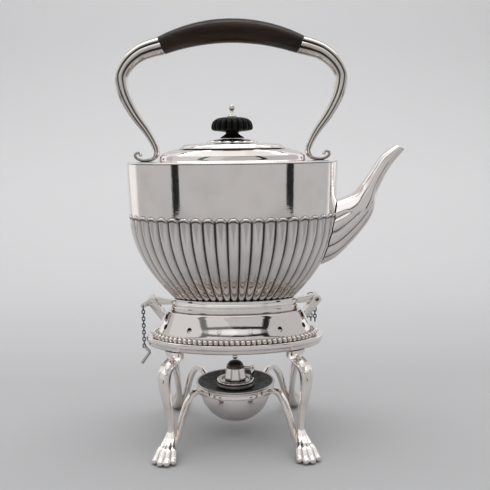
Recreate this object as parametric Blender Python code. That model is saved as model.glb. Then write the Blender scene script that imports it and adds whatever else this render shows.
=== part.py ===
"""Half-fluted oval tea kettle that tilts on a four-legged spirit stand.

The kettle swings about a pin on the spout side of the stand, its lid opens on a
hinge at the back, and the spirit lamp below lifts out and has a hinged snuffer.
Everything is drawn about the stand's upright axis: +X runs to the spout, +Y to
the back and +Z up, with the soles of the paws at zero. Lengths are in metres.
"""

import math

import bmesh
import bpy
from mathutils import Matrix, Vector

# Shared sheet, clearances and fineness
SHEET = 0.0012
GAP = 0.0003
OVERRUN = 0.0040
OVAL_COLUMNS = 32
ROUND_COLUMNS = 20

# Ovals of body and stand: the half width is the half length less this
OVAL_DIFFERENCE = 0.0320

# Heights of the main levels
FOOT_LEVEL = 0.1110
BODY_BOTTOM = 0.1194
FLUTE_LEVEL = 0.1950
RIM_LEVEL = 0.2370

# Kettle body
RIM_HALF_LENGTH = 0.0890
BELLY_INSET = 0.0014
BELLY_HALF_LENGTH = RIM_HALF_LENGTH - BELLY_INSET
BOTTOM_HALF_LENGTH = 0.0495
BELLY_POWER = 2.05
FLUTES = 46
FLUTE_DEPTH = 0.0018
FLUTE_PROUD = 0.0005
FLUTE_ARCH = 0.0022
FLUTE_FLAT_SHARE = 0.52
FLUTE_FOOT_DEPTH_SHARE = 0.55
FLUTE_ROW_SHARES = (0.03, 0.30, 0.53, 0.73, 0.89, 1.0)
INNER_ROW_SHARES = (0.90, 0.73, 0.50, 0.25)

# Strainer holes through the wall behind the spout
STRAINER_ROWS = 3
STRAINER_COLUMNS = 3
STRAINER_PITCH = 0.0072
STRAINER_RADIUS = 0.0022
STRAINER_LEVEL = 0.1730

# Foot ring with three stepped mouldings
FOOT_FLANGE = 0.0054
FOOT_HALF_LENGTH = BOTTOM_HALF_LENGTH + FOOT_FLANGE
FOOT_STEP = 0.0010
FOOT_SHELF = 0.0035
FOOT_BAND_SHARES = (0.38, 0.44, 0.88, 0.93)
FOOT_RISE = 0.0106

# Shoulder plate with its raised step and the seat of the lid
STEP_HALF_LENGTH = 0.0610
STEP_HALF_WIDTH = 0.0384
STEP_RISE = 0.0054
STEP_BATTER = 0.0020
SEAT_HALF_LENGTH = 0.0490
SEAT_HALF_WIDTH = 0.0355
SEAT_RISE = 0.0098
MOUTH_HALF_LENGTH = 0.0415
MOUTH_HALF_WIDTH = 0.0270

# Lid
LID_HALF_LENGTH = 0.0450
LID_HALF_WIDTH = 0.0305
LID_CROWN = 0.0050
LID_BEZEL_DEPTH = 0.0030
LID_BEZEL_GAP = 0.0005
LID_CROWN_SHARES = ((0.96, 0.42), (0.80, 0.72), (0.58, 1.0))

# Fluted rosette, knob and finial on one bolt
BOLT_RADIUS = 0.0015
ROSETTE_RADIUS = 0.0229
ROSETTE_RISE = 0.0033
ROSETTE_LOBES = 16
ROSETTE_SHARES = ((1.0, 0.0), (1.0, 0.12), (0.88, 0.52), (0.62, 0.82), (0.40, 1.0))
KNOB_RADIUS = 0.0176
KNOB_HEIGHT = 0.0174
KNOB_LOBES = 20
KNOB_LOBE_DEPTH = 0.0009
KNOB_SHARES = (
    (0.54, 0.0), (0.36, 0.16), (0.38, 0.30), (0.88, 0.46), (1.0, 0.64), (0.92, 0.84), (0.32, 1.0),
)
KNOB_LOBE_SHARES = (0.0, 0.0, 0.0, 1.0, 1.0, 1.0, 0.0)
FINIAL_HEIGHT = 0.0104
FINIAL_BASE_RADIUS = 0.0042
FINIAL_SHARES = (
    (1.0, 0.0), (0.90, 0.12), (0.42, 0.34), (0.36, 0.50), (0.56, 0.62),
    (0.62, 0.76), (0.50, 0.90), (0.20, 1.0),
)
NUT_RADIUS = 0.0040
NUT_HEIGHT = 0.0025
BOLT_TAIL = 0.0006

# Lid hinge behind the lid
LID_KNUCKLE_RADIUS = 0.0017
LID_KNUCKLE_LENGTH = 0.0048
LID_PIN_RADIUS = 0.0007
LID_HINGE_SETBACK = 0.0023
LID_LEAF = 0.0009
LID_LEAF_REACH = 0.0026

# Spout: upper and lower edges as shares of its reach from the root and of its rise
SPOUT_SINK = 0.0156
SPOUT_ROOT = BELLY_HALF_LENGTH - SPOUT_SINK
SPOUT_TIP = 0.1456
SPOUT_LOW = 0.1480
SPOUT_TOP = 0.2504
SPOUT_UPPER_SHARES = (
    (0.00, 0.545), (0.20, 0.558), (0.395, 0.605), (0.51, 0.695), (0.625, 0.81), (0.74, 0.925), (0.885, 1.0),
)
SPOUT_LOWER_SHARES = (
    (0.00, 0.00), (0.22, 0.075), (0.49, 0.275), (0.632, 0.43), (0.70, 0.63), (0.845, 0.83), (1.0, 0.965),
)
SPOUT_HALF_WIDTH = 0.0175
SPOUT_WIDTH_SHARES = (1.0, 0.95, 0.76, 0.62, 0.48, 0.36, 0.29)
SPOUT_LOBES = 7
SPOUT_LOBE_DEPTH = 0.0013
SPOUT_LOBE_SHARES = (1.0, 1.0, 0.8, 0.35, 0.0, 0.0, 0.0)
SPOUT_COLUMNS = 20
SPOUT_STEPS = 2

# Bail handle: silver arms rising from scrolled feet to a wooden grip
HANDLE_TOP = 0.3550
GRIP_CHORD = 0.1150
GRIP_SAG = 0.0116
GRIP_HALF_HEIGHT = 0.0098
GRIP_END_HALF_HEIGHT = 0.0076
GRIP_HALF_WIDTH = 0.0090
GRIP_END_HALF_WIDTH = 0.0080
GRIP_STEPS = 10
HANDLE_REACH = 0.0975
ARM_HALF_THICK = 0.0076
ARM_HALF_WIDTH = 0.0080
ARM_FOOT_CLEARANCE = 0.0007
ARM_REED_SHARE = 0.45
ARM_GROOVE_SHARE = 0.80
ARM_CORNER_SHARES = (0.82, 0.62)
ARM_PATH_SHARES = (
    (0.593, 1.000), (0.685, 0.975), (0.778, 0.937), (0.868, 0.865), (0.925, 0.780), (0.940, 0.705),
    (0.911, 0.568), (0.832, 0.405), (0.728, 0.250), (0.667, 0.128), (0.660, 0.062), (0.688, 0.020),
    (0.745, 0.008), (0.800, 0.011), (0.835, 0.034), (0.838, 0.062), (0.812, 0.074), (0.794, 0.056),
)
ARM_THICK_SHARES = (
    1.0, 0.96, 0.90, 0.84, 0.79, 0.76, 0.67, 0.54, 0.43, 0.36, 0.33, 0.20, 0.13, 0.12, 0.11, 0.11, 0.11, 0.10,
)
ARM_WIDTH_SHARES = (
    1.0, 0.94, 0.88, 0.82, 0.78, 0.74, 0.66, 0.56, 0.48, 0.44, 0.44, 0.46, 0.48, 0.46, 0.42, 0.40, 0.38, 0.36,
)
TENON_RADIUS = 0.0036
TENON_LENGTH = 0.0080
GRIP_PIN_RADIUS = 0.0009

# Pivots between kettle and stand, one at each end
PIVOT_Z = 0.1198
EYE_RADIUS = 0.0037
TONGUE = 0.0064
EAR = 0.0040
PIN_RADIUS = 0.0014
BAR_HALF_HEIGHT = 0.0020
BAR_DROP = 0.0016
STRUT_BASE_HALF = 0.0030
CHAIN_EYE_RADIUS = 0.0021
CHAIN_EYE_BORE = 0.0010
CHAIN_EYE_THICK = 0.0026
CHAIN_EYE_REACH = 0.0080
CHAIN_EYE_ANGLE = math.radians(-25.0)
CHAIN_LUG_THICK = 0.0009
CHAIN_LUG_DROP = 0.0052
CHAIN_LUG_STAND_OFF = 0.0016

# Locking pins: a shank with a bent leaf-shaped loop, hung on a chain
SHANK_LENGTH = 0.0124
SHANK_NECK = 0.0016
LOOP_LENGTH = 0.0086
LOOP_HALF_WIDTH = 0.0026
LOOP_WIRE = 0.0006
LOOP_BEND = math.radians(80.0)
LOOP_STEPS = 10
LOOP_HANG_SHARE = 0.56
LINK_LENGTH = 0.0044
LINK_HALF_WIDTH = 0.00155
LINK_WIRE = 0.0004
LINK_STEPS = 8
RING_STEPS = 10
LINK_BITE_SHARE = 1.1
JUMP_RING_RADIUS = 0.0023
LEFT_CHAIN_LINKS = 11
RIGHT_PIN_LINKS = 7
RIGHT_LUG_LINKS = 6

# Stand collar with its vent holes
COLLAR_MARGIN = 0.0029
COLLAR_SPREAD = 0.0084
COLLAR_LIP_REACH = 0.0049
COLLAR_TOP_HALF_LENGTH = FOOT_HALF_LENGTH + COLLAR_MARGIN
COLLAR_FOOT_HALF_LENGTH = COLLAR_TOP_HALF_LENGTH + COLLAR_SPREAD
COLLAR_LIP_HALF_LENGTH = FOOT_HALF_LENGTH - COLLAR_LIP_REACH
COLLAR_FLARE_SHARES = ((0.93, 0.0), (1.0, 0.14), (1.0, 0.27), (0.60, 0.60), (0.12, 0.94), (0.0, 1.0))
VENTS = 12
VENT_RADIUS = 0.0021
VENT_SHARE = 0.47

# Gadrooned border round the foot of the collar
BORDER_RADIUS = 0.0027
BORDER_LOBES = 70
BORDER_DEPTH = 0.0007

# Stand ring, and the pivots' place over it
RING_LEDGE = 0.0108
RING_HALF_LENGTH = COLLAR_FOOT_HALF_LENGTH + RING_LEDGE
RING_TOP = 0.0900
RING_DEPTH = 0.0080
RING_DISH = 0.0024
RING_STEP = 0.0010
RING_LIP = 0.0016
RING_UNDERLAP = 0.0008
RING_OPENING_HALF_LENGTH = COLLAR_TOP_HALF_LENGTH - RING_UNDERLAP
PIVOT_INSET = 0.0060
PIVOT_X = RING_HALF_LENGTH - PIVOT_INSET

# Legs: stations from the ring down to the sole, as shares of the named sizes
LEG_TOP_SHARES = (0.6753, 0.7333)
LEG_SPLAY_X = 0.0068
LEG_SPLAY_Y = 0.0330
LEG_HALF_WIDTH = 0.0090
LEG_HALF_DEPTH = 0.0150
LEG_BEARING = math.radians(78.0)
LEG_HEIGHT_SHARES = (1.0, 0.955, 0.89, 0.79, 0.68, 0.55, 0.40, 0.27, 0.20, 0.14, 0.085, 0.035, 0.0)
LEG_X_SHARES = (0.10, 0.22, 0.52, 0.86, 0.84, 0.70, 0.48, 0.30, 0.34, 0.52, 0.74, 0.88, 0.88)
LEG_Y_SHARES = (0.00, 0.08, 0.22, 0.38, 0.43, 0.44, 0.42, 0.43, 0.48, 0.60, 0.74, 0.83, 0.84)
LEG_WIDTH_SHARES = (1.05, 0.86, 0.62, 0.53, 0.52, 0.49, 0.40, 0.32, 0.40, 0.60, 0.82, 0.95, 0.86)
LEG_DEPTH_SHARES = (0.44, 0.42, 0.40, 0.38, 0.34, 0.28, 0.22, 0.20, 0.25, 0.46, 0.76, 0.98, 0.94)
LEG_TOE_SHARES = (0.0, 0.0, 0.0, 0.0, 0.0, 0.0, 0.0, 0.0, 0.1, 0.45, 0.9, 1.0, 1.0)
TOE_GROOVE_SHARE = 0.20
SOLE_CHAMFER_SHARE = 0.94

# Cradle that carries the lamp
CRADLE_RADIUS = 0.0340
CRADLE_WALL = 0.0016
CRADLE_TOP = 0.0455
CRADLE_DEPTH = 0.0057
CRADLE_BAR_HALF = 0.0021
CRADLE_BAR_FOOT = 0.0045
CRADLE_PATH_SHARES = (
    (0.00, 0.93), (0.047, 0.93), (0.097, 0.96), (0.165, 1.04), (0.262, 1.07), (0.386, 1.02),
    (0.494, 0.87), (0.586, 0.66), (0.665, 0.42), (0.725, 0.22), (0.79, 0.10), (0.88, 0.06),
)
CRADLE_THICK_SHARES = (0.7, 0.7, 0.75, 0.85, 1.0, 1.0, 1.0, 1.0, 1.0, 1.0, 1.0, 1.0)

# Spirit lamp
BOWL_RADIUS = 0.0305
BOWL_BOTTOM = 0.0114
BOWL_POWER = 2.6
BOWL_STEPS = 5
DISC_RADIUS = 0.0345
DISC_DISH = 0.0040
NECK_RADIUS = 0.0163
NECK_TOP = 0.0486
NECK_BORE = 0.0120
HOLDER_BORE = 0.0054
WICK_RADIUS = 0.0050
WICK_TOP = 0.0530
SNUFFER_RADIUS = 0.0103
SNUFFER_HEIGHT = 0.0165
SNUFFER_SIDES = 8
SNUFFER_SHARES = ((1.0, 0.0), (0.94, 0.20), (0.80, 0.48), (0.72, 0.63), (0.58, 0.66), (0.24, 1.0))
SNUFFER_KNOB_RADIUS = 0.0028
SNUFFER_KNOB_SHARES = ((0.45, 0.0), (0.5, 0.15), (1.0, 0.45), (0.9, 0.75), (0.4, 1.0))
SNUFFER_KNOB_HEIGHT = 0.0044
SNUFFER_PIVOT_X = 0.0152
SNUFFER_PIVOT_RISE = 0.0095
SNUFFER_EYE_RADIUS = 0.0019
SNUFFER_PIN_RADIUS = 0.0007
SNUFFER_ARM = 0.0022
SNUFFER_EAR = 0.0016
SNUFFER_ARM_HALF_HEIGHT = 0.0010

# The box of the whole object is centred on the origin, so the stand's axis lies to the left
STAND_AXIS_X = (HANDLE_REACH - SPOUT_TIP) / 2.0

# Finishes: colour, roughness, metallic
SILVER = ((0.88, 0.87, 0.85), 0.14, 1.0)
AGED_SILVER = ((0.62, 0.61, 0.59), 0.28, 1.0)
EBONY = ((0.012, 0.011, 0.011), 0.32, 0.0)
DARK_WOOD = ((0.055, 0.030, 0.020), 0.42, 0.0)
COTTON = ((0.72, 0.68, 0.60), 0.95, 0.0)


def clear_scene():
    """Empties the file before anything is modelled."""
    for obj in list(bpy.data.objects):
        bpy.data.objects.remove(obj, do_unlink=True)


def make_material(name, finish):
    """A Principled material of the part's own colour, roughness and metallic value."""
    colour, roughness, metallic = finish
    material = bpy.data.materials.new(name)
    material.use_nodes = True
    shader = material.node_tree.nodes["Principled BSDF"]
    shader.inputs["Base Color"].default_value = (*colour, 1.0)
    shader.inputs["Roughness"].default_value = roughness
    shader.inputs["Metallic"].default_value = metallic
    return material


def make_axis(name, parent, x, y, z):
    """An empty on a joint's axis; x, y and z are measured from the stand's axis."""
    axis = bpy.data.objects.new(name, None)
    bpy.context.collection.objects.link(axis)
    base = Vector(parent["place"]) if parent else Vector((0.0, 0.0, 0.0))
    axis["place"] = (x, y, z)
    axis.parent = parent
    axis.location = Vector((x, y, z)) - base
    return axis


def make_object(name, mesh_data, parent, finish):
    """A named object whose mesh is drawn about the stand's axis."""
    bmesh.ops.recalc_face_normals(mesh_data, faces=mesh_data.faces[:])
    mesh = bpy.data.meshes.new(name)
    mesh_data.to_mesh(mesh)
    mesh_data.free()
    mesh.shade_smooth()
    mesh.set_sharp_from_angle(angle=math.radians(32.0))
    obj = bpy.data.objects.new(name, mesh)
    bpy.context.collection.objects.link(obj)
    obj.parent = parent
    obj.location = -Vector(parent["place"])
    if finish:
        mesh.materials.append(make_material(name, finish))
    return obj


def add_loft(mesh, loops, closed=False):
    """Joins a row of equal loops with quads, capped at both ends or closed on itself."""
    rings = [[mesh.verts.new(point) for point in loop] for loop in loops]
    following = rings[1:] + rings[:1] if closed else rings[1:]
    for near, far in zip(rings, following):
        for i in range(len(near)):
            j = (i + 1) % len(near)
            mesh.faces.new((near[i], near[j], far[j], far[i]))
    if not closed:
        mesh.faces.new(rings[0])
        mesh.faces.new(rings[-1])
    return rings


def loft(name, loops, parent, finish, closed=False):
    """One lofted solid."""
    mesh = bmesh.new()
    add_loft(mesh, loops, closed)
    return make_object(name, mesh, parent, finish)


def extrude_outline(name, outline, low, high, parent, finish):
    """An outline in the XZ plane drawn out along Y from low to high."""
    mesh = bmesh.new()
    face = mesh.faces.new([mesh.verts.new((x, low, z)) for x, z in outline])
    grown = bmesh.ops.extrude_face_region(mesh, geom=[face])
    moved = [item for item in grown["geom"] if isinstance(item, bmesh.types.BMVert)]
    bmesh.ops.translate(mesh, verts=moved, vec=(0.0, high - low, 0.0))
    return make_object(name, mesh, parent, finish)


def add_cylinder(mesh, centre, direction, radius, length, sides):
    """A capped cylinder about a centre, along a direction."""
    turn = Vector((0.0, 0.0, 1.0)).rotation_difference(Vector(direction)).to_matrix().to_4x4()
    bmesh.ops.create_cone(
        mesh, cap_ends=True, segments=sides, radius1=radius, radius2=radius, depth=length,
        matrix=Matrix.Translation(centre) @ turn,
    )


def make_cylinders(name, places, direction, radius, length, parent, finish, sides=12):
    """One object of one or more equal cylinders."""
    mesh = bmesh.new()
    for centre in places:
        add_cylinder(mesh, centre, direction, radius, length, sides)
    return make_object(name, mesh, parent, finish)


def boolean(obj, tool, operation):
    """Adds a Boolean with a tool object that the model itself leaves out."""
    tool.hide_render = True
    tool.display_type = "WIRE"
    modifier = obj.modifiers.new(tool.name, "BOOLEAN")
    modifier.operation = operation
    modifier.solver = "EXACT"
    modifier.object = tool


def cut(obj, tool):
    """Cuts the tool's shape out of the object."""
    boolean(obj, tool, "DIFFERENCE")


def unite(obj, tool):
    """Joins the tool's shape to the object as one body."""
    boolean(obj, tool, "UNION")


def half_width(half_length):
    """Half width of a body or stand oval."""
    return half_length - OVAL_DIFFERENCE


def oval_loop(half_long, half_wide, height, columns=OVAL_COLUMNS):
    """Points round an oval at one height."""
    step = 2.0 * math.pi / columns
    return [
        (half_long * math.cos(i * step), half_wide * math.sin(i * step), height)
        for i in range(columns)
    ]


def family_ring(name, section, parent, finish, columns=OVAL_COLUMNS):
    """A closed ring of the body or stand family from its (half length, height) section."""
    loops = [oval_loop(long, half_width(long), height, columns) for long, height in section]
    return loft(name, loops, parent, finish, closed=True)


def turned_ring(name, section, parent, finish, columns=ROUND_COLUMNS):
    """A round ring with a bore from its (radius, height) section."""
    loops = [oval_loop(radius, radius, height, columns) for radius, height in section]
    return loft(name, loops, parent, finish, closed=True)


def turned_solid(name, profile, parent, finish, columns=ROUND_COLUMNS):
    """A round solid without a bore, capped flat at both ends."""
    loops = [oval_loop(radius, radius, height, columns) for radius, height in profile]
    return loft(name, loops, parent, finish)


def girth_angles(half_long, half_wide, shares):
    """Angles at given shares of an oval's girth, counted from the front."""
    fineness = 3600
    step = 2.0 * math.pi / fineness
    lengths = [0.0]
    for i in range(fineness):
        angle = (i + 0.5) * step - math.pi / 2.0
        dx = half_long * math.sin(angle) * step
        dy = half_wide * math.cos(angle) * step
        lengths.append(lengths[-1] + math.hypot(dx, dy))
    angles = []
    place = 0
    for share in sorted(share % 1.0 for share in shares):
        target = share * lengths[-1]
        while lengths[place + 1] < target:
            place += 1
        within = (target - lengths[place]) / (lengths[place + 1] - lengths[place])
        angles.append((place + within) * step - math.pi / 2.0)
    return angles


def smooth_path(points, steps):
    """Points on a smooth curve through hand-set points, with steps to each span."""
    padded = [points[0]] + list(points) + [points[-1]]
    smooth = []
    for i in range(1, len(padded) - 2):
        p0, p1, p2, p3 = (Vector(p) for p in padded[i - 1:i + 3])
        for k in range(steps):
            t = k / steps
            smooth.append(0.5 * (
                2.0 * p1 + (p2 - p0) * t
                + (2.0 * p0 - 5.0 * p1 + 4.0 * p2 - p3) * t ** 2
                + (3.0 * p1 - p0 - 3.0 * p2 + p3) * t ** 3
            ))
    smooth.append(Vector(points[-1]))
    return smooth


def swept_loops(stations, section, bearing=0.0, ends=(None, None)):
    """Loops along a path in the upright plane at a bearing round the stand's axis.

    A station is (distance from the axis, height, half thickness, half width); the
    section's points are (share of the half thickness, share of the half width).
    Each end may be given the way that its flat end faces, as (outward, upward).
    """
    out = Vector((math.cos(bearing), math.sin(bearing), 0.0))
    side = Vector((-out.y, out.x, 0.0))
    up = Vector((0.0, 0.0, 1.0))
    loops = []
    for i, (reach, height, thick, wide) in enumerate(stations):
        before = stations[max(i - 1, 0)]
        after = stations[min(i + 1, len(stations) - 1)]
        way = (after[0] - before[0], after[1] - before[1])
        if i == 0 and ends[0]:
            way = ends[0]
        if i == len(stations) - 1 and ends[1]:
            way = ends[1]
        normal = side.cross((out * way[0] + up * way[1]).normalized())
        centre = out * reach + up * height
        loops.append([centre + normal * thick * p + side * wide * q for p, q in section])
    return loops


def round_section(count):
    """A round section of count points."""
    step = 2.0 * math.pi / count
    return [(math.cos(i * step), math.sin(i * step)) for i in range(count)]


def reeded_section():
    """A section with a groove down its front and back faces between two reeds."""
    quarter = [(1.0, 0.0), ARM_CORNER_SHARES, (ARM_REED_SHARE, 1.0), (0.0, ARM_GROOVE_SHARE)]
    front = quarter + [(-p, q) for p, q in quarter[-2::-1]]
    return front + [(p, -q) for p, q in front[-2:0:-1]]


def crest_half_length(height):
    """Half length over the crests of the flutes, or of the plain band above them."""
    if height >= FLUTE_LEVEL:
        share = (height - FLUTE_LEVEL) / (RIM_LEVEL - FLUTE_LEVEL)
        return BELLY_HALF_LENGTH + share * (RIM_HALF_LENGTH - BELLY_HALF_LENGTH)
    share = (FLUTE_LEVEL - height) / (FLUTE_LEVEL - BODY_BOTTOM)
    swell = 1.0 - max(share, 0.0) ** BELLY_POWER
    return BOTTOM_HALF_LENGTH + swell * (BELLY_HALF_LENGTH - BOTTOM_HALF_LENGTH)


def flute_depth(height):
    """Depth of the grooves between flutes, shallower towards the foot."""
    share = max(0.0, (FLUTE_LEVEL - height) / (FLUTE_LEVEL - BODY_BOTTOM))
    return FLUTE_DEPTH * (1.0 - share * (1.0 - FLUTE_FOOT_DEPTH_SHARE))


def body_point(angle, reach, height):
    """A point of the body at an angle, for a half length."""
    return (reach * math.cos(angle), half_width(reach) * math.sin(angle), height)


def body_columns():
    """Angles of the columns round the body, and whether each lies in a groove."""
    edge = (1.0 - FLUTE_FLAT_SHARE) / 2.0
    shares = sorted((k - 0.5 + u) / FLUTES % 1.0 for k in range(FLUTES) for u in (0.0, edge, 1.0 - edge))
    angles = girth_angles(BELLY_HALF_LENGTH, half_width(BELLY_HALF_LENGTH), shares)
    groove = shares.index(0.5 / FLUTES)
    return angles, [(i - groove) % 3 == 0 for i in range(len(angles))]


def body_heights():
    """Heights of the rows down the flutes."""
    return [FLUTE_LEVEL - share * (FLUTE_LEVEL - BODY_BOTTOM) for share in FLUTE_ROW_SHARES]


def make_body(parent):
    """Raised body: plain band above, flutes below, open at the rim."""
    angles, in_groove = body_columns()
    rows = []
    for height in (RIM_LEVEL, FLUTE_LEVEL + FLUTE_PROUD):
        rows.append([body_point(angle, crest_half_length(height), height) for angle in angles])
    drop = FLUTE_LEVEL - BODY_BOTTOM
    for level, share in zip(body_heights(), FLUTE_ROW_SHARES):
        row = []
        for angle, groove in zip(angles, in_groove):
            height = level - (FLUTE_ARCH if groove and share == FLUTE_ROW_SHARES[0] else 0.0)
            proud = FLUTE_PROUD * (1.0 - share)
            reach = crest_half_length(height) + (-flute_depth(height) if groove else proud)
            row.append(body_point(angle, reach, height))
        rows.append(row)
    floor_level = BODY_BOTTOM + SHEET
    inner_angles = [angle for angle, groove in zip(angles, in_groove) if groove]
    heights = [floor_level] + [FLUTE_LEVEL - share * drop for share in INNER_ROW_SHARES]
    inner_rows = []
    for height in heights:
        reach = crest_half_length(height) - flute_depth(height) - SHEET
        inner_rows.append([body_point(angle, reach, height) for angle in inner_angles])
    for height in (FLUTE_LEVEL, RIM_LEVEL):
        reach = crest_half_length(height) - SHEET - (FLUTE_DEPTH if height == FLUTE_LEVEL else 0.0)
        inner_rows.append([body_point(angle, reach, height) for angle in inner_angles])
    mesh = bmesh.new()
    outer = [[mesh.verts.new(point) for point in row] for row in rows]
    inner = [[mesh.verts.new(point) for point in row] for row in inner_rows]
    for group in (outer, inner):
        for near, far in zip(group, group[1:]):
            for i in range(len(near)):
                j = (i + 1) % len(near)
                mesh.faces.new((near[i], near[j], far[j], far[i]))
    mesh.faces.new(outer[-1])
    mesh.faces.new(inner[0])
    groove_columns = [i for i, groove in enumerate(in_groove) if groove]
    for k, start in enumerate(groove_columns):
        rim = [outer[0][(start + step) % len(angles)] for step in range(4)]
        mesh.faces.new(rim + [inner[-1][(k + 1) % FLUTES], inner[-1][k]])
    body = make_object("kettle_body", mesh, parent, SILVER)
    places = [
        (BELLY_HALF_LENGTH, (column - (STRAINER_COLUMNS - 1) / 2.0) * STRAINER_PITCH,
         STRAINER_LEVEL + (row - (STRAINER_ROWS - 1) / 2.0) * STRAINER_PITCH)
        for row in range(STRAINER_ROWS) for column in range(STRAINER_COLUMNS)
    ]
    reach = 2.0 * (FLUTE_DEPTH + SHEET + OVERRUN) + OVERRUN
    cut(body, make_cylinders("strainer_drill", places, (1.0, 0.0, 0.0), STRAINER_RADIUS, reach, parent, None, 6))
    return body


def make_foot_ring(parent):
    """Stepped foot ring that the body's bottom is soldered into."""
    lip = BODY_BOTTOM + SHEET + FLUTE_PROUD
    under = BODY_BOTTOM - GAP
    levels = [FOOT_LEVEL + share * FOOT_RISE for share in FOOT_BAND_SHARES]
    top = FOOT_LEVEL + FOOT_RISE
    tuck = crest_half_length(top) + FLUTE_PROUD + GAP
    band = max(FOOT_HALF_LENGTH - 2.0 * FOOT_STEP, tuck + SHEET / 2.0)
    section = [
        (FOOT_HALF_LENGTH, FOOT_LEVEL), (FOOT_HALF_LENGTH, levels[0]),
        (FOOT_HALF_LENGTH - FOOT_STEP, levels[1]), (FOOT_HALF_LENGTH - FOOT_STEP, levels[2]),
        (band, levels[3]), (band, top), (tuck, top),
        (crest_half_length(lip) + FLUTE_PROUD, lip - GAP),
        (BOTTOM_HALF_LENGTH + GAP, under), (BOTTOM_HALF_LENGTH - FOOT_SHELF, under),
        (BOTTOM_HALF_LENGTH - FOOT_SHELF, under - SHEET),
        (FOOT_HALF_LENGTH - FOOT_STEP - SHEET, under - SHEET), (FOOT_HALF_LENGTH - SHEET, FOOT_LEVEL),
    ]
    return family_ring("foot_ring", section, parent, SILVER)


def shoulder_levels():
    """Heights of the shoulder plate's top, its step and the lid's seat."""
    top = RIM_LEVEL + GAP + SHEET
    return top, top + STEP_RISE, top + SEAT_RISE


def make_shoulder(parent):
    """Plate that closes the body's top, with a raised step up to the lid's seat."""
    top, step, seat = shoulder_levels()
    foot_long = STEP_HALF_LENGTH + STEP_BATTER
    foot_wide = STEP_HALF_WIDTH + STEP_BATTER
    slope_long = (STEP_HALF_LENGTH * 2.0 + SEAT_HALF_LENGTH) / 3.0
    slope_wide = (STEP_HALF_WIDTH * 2.0 + SEAT_HALF_WIDTH) / 3.0
    slope = step + (seat - step) / 2.0
    section = [
        (RIM_HALF_LENGTH, half_width(RIM_HALF_LENGTH), RIM_LEVEL + GAP),
        (RIM_HALF_LENGTH, half_width(RIM_HALF_LENGTH), top),
        (foot_long, foot_wide, top), (STEP_HALF_LENGTH, STEP_HALF_WIDTH, step),
        (slope_long, slope_wide, slope), (SEAT_HALF_LENGTH, SEAT_HALF_WIDTH, seat),
        (MOUTH_HALF_LENGTH, MOUTH_HALF_WIDTH, seat), (MOUTH_HALF_LENGTH, MOUTH_HALF_WIDTH, seat - SHEET),
        (SEAT_HALF_LENGTH - SHEET, SEAT_HALF_WIDTH - SHEET, seat - SHEET),
        (STEP_HALF_LENGTH - SHEET, STEP_HALF_WIDTH - SHEET, step - SHEET),
        (foot_long - SHEET, foot_wide - SHEET, RIM_LEVEL + GAP),
    ]
    loops = [oval_loop(long, wide, height) for long, wide, height in section]
    return loft("shoulder_plate", loops, parent, SILVER, closed=True)


def lid_levels():
    """Heights of the lid's underside at its rim and of its crown."""
    seat = shoulder_levels()[2] + GAP
    return seat, seat + LID_CROWN


def make_lid(parent):
    """Domed lid with a bezel that drops into the mouth and a hole for the bolt."""
    seat, crown = lid_levels()
    rim = seat + SHEET
    hole = BOLT_RADIUS + GAP
    long, wide = LID_HALF_LENGTH, LID_HALF_WIDTH
    dome = [(long * share, wide * share, rim + rise * (crown - rim)) for share, rise in LID_CROWN_SHARES]
    bezel_long = MOUTH_HALF_LENGTH - LID_BEZEL_GAP
    bezel_wide = MOUTH_HALF_WIDTH - LID_BEZEL_GAP
    inner_share = LID_CROWN_SHARES[-1][0]
    section = [(long, wide, seat), (long, wide, rim)] + dome
    section += [
        (hole, hole, crown), (hole, hole, crown - SHEET),
        (long * inner_share, wide * inner_share, crown - SHEET),
        (bezel_long - SHEET, bezel_wide - SHEET, seat + GAP),
        (bezel_long - SHEET, bezel_wide - SHEET, seat - LID_BEZEL_DEPTH),
        (bezel_long, bezel_wide, seat - LID_BEZEL_DEPTH), (bezel_long, bezel_wide, seat),
    ]
    loops = [oval_loop(a, b, height) for a, b, height in section]
    return loft("lid", loops, parent, SILVER, closed=True)


def lobed_loop(radius, height, lobes, depth):
    """A round loop with a crest and a groove to each lobe."""
    step = math.pi / lobes
    points = []
    for i in range(2 * lobes):
        reach = radius - (depth if i % 2 else 0.0)
        points.append((reach * math.cos(i * step), reach * math.sin(i * step), height))
    return points


def make_rosette(parent):
    """Fluted mount between lid and knob."""
    base = lid_levels()[1] + GAP
    hole = BOLT_RADIUS + GAP
    depth = ROSETTE_RADIUS * math.pi / ROSETTE_LOBES / 3.0
    loops = []
    for share, rise in ROSETTE_SHARES:
        loops.append(lobed_loop(ROSETTE_RADIUS * share, base + rise * ROSETTE_RISE, ROSETTE_LOBES, depth * share))
    loops.append(lobed_loop(hole, base + ROSETTE_RISE, ROSETTE_LOBES, 0.0))
    loops.append(lobed_loop(hole, base, ROSETTE_LOBES, 0.0))
    return loft("knob_rosette", loops, parent, SILVER, closed=True)


def knob_levels():
    """Heights of the knob's foot and top."""
    foot = lid_levels()[1] + GAP + ROSETTE_RISE + GAP
    return foot, foot + KNOB_HEIGHT


def make_knob(parent):
    """Ebony knob: a waisted stem under a melon-fluted disc."""
    foot, top = knob_levels()
    hole = BOLT_RADIUS + GAP
    loops = []
    for (share, rise), lobe in zip(KNOB_SHARES, KNOB_LOBE_SHARES):
        loops.append(lobed_loop(KNOB_RADIUS * share, foot + rise * KNOB_HEIGHT, KNOB_LOBES, KNOB_LOBE_DEPTH * lobe))
    loops.append(lobed_loop(hole, top, KNOB_LOBES, 0.0))
    loops.append(lobed_loop(hole, foot, KNOB_LOBES, 0.0))
    return loft("knob", loops, parent, EBONY, closed=True)


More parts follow.
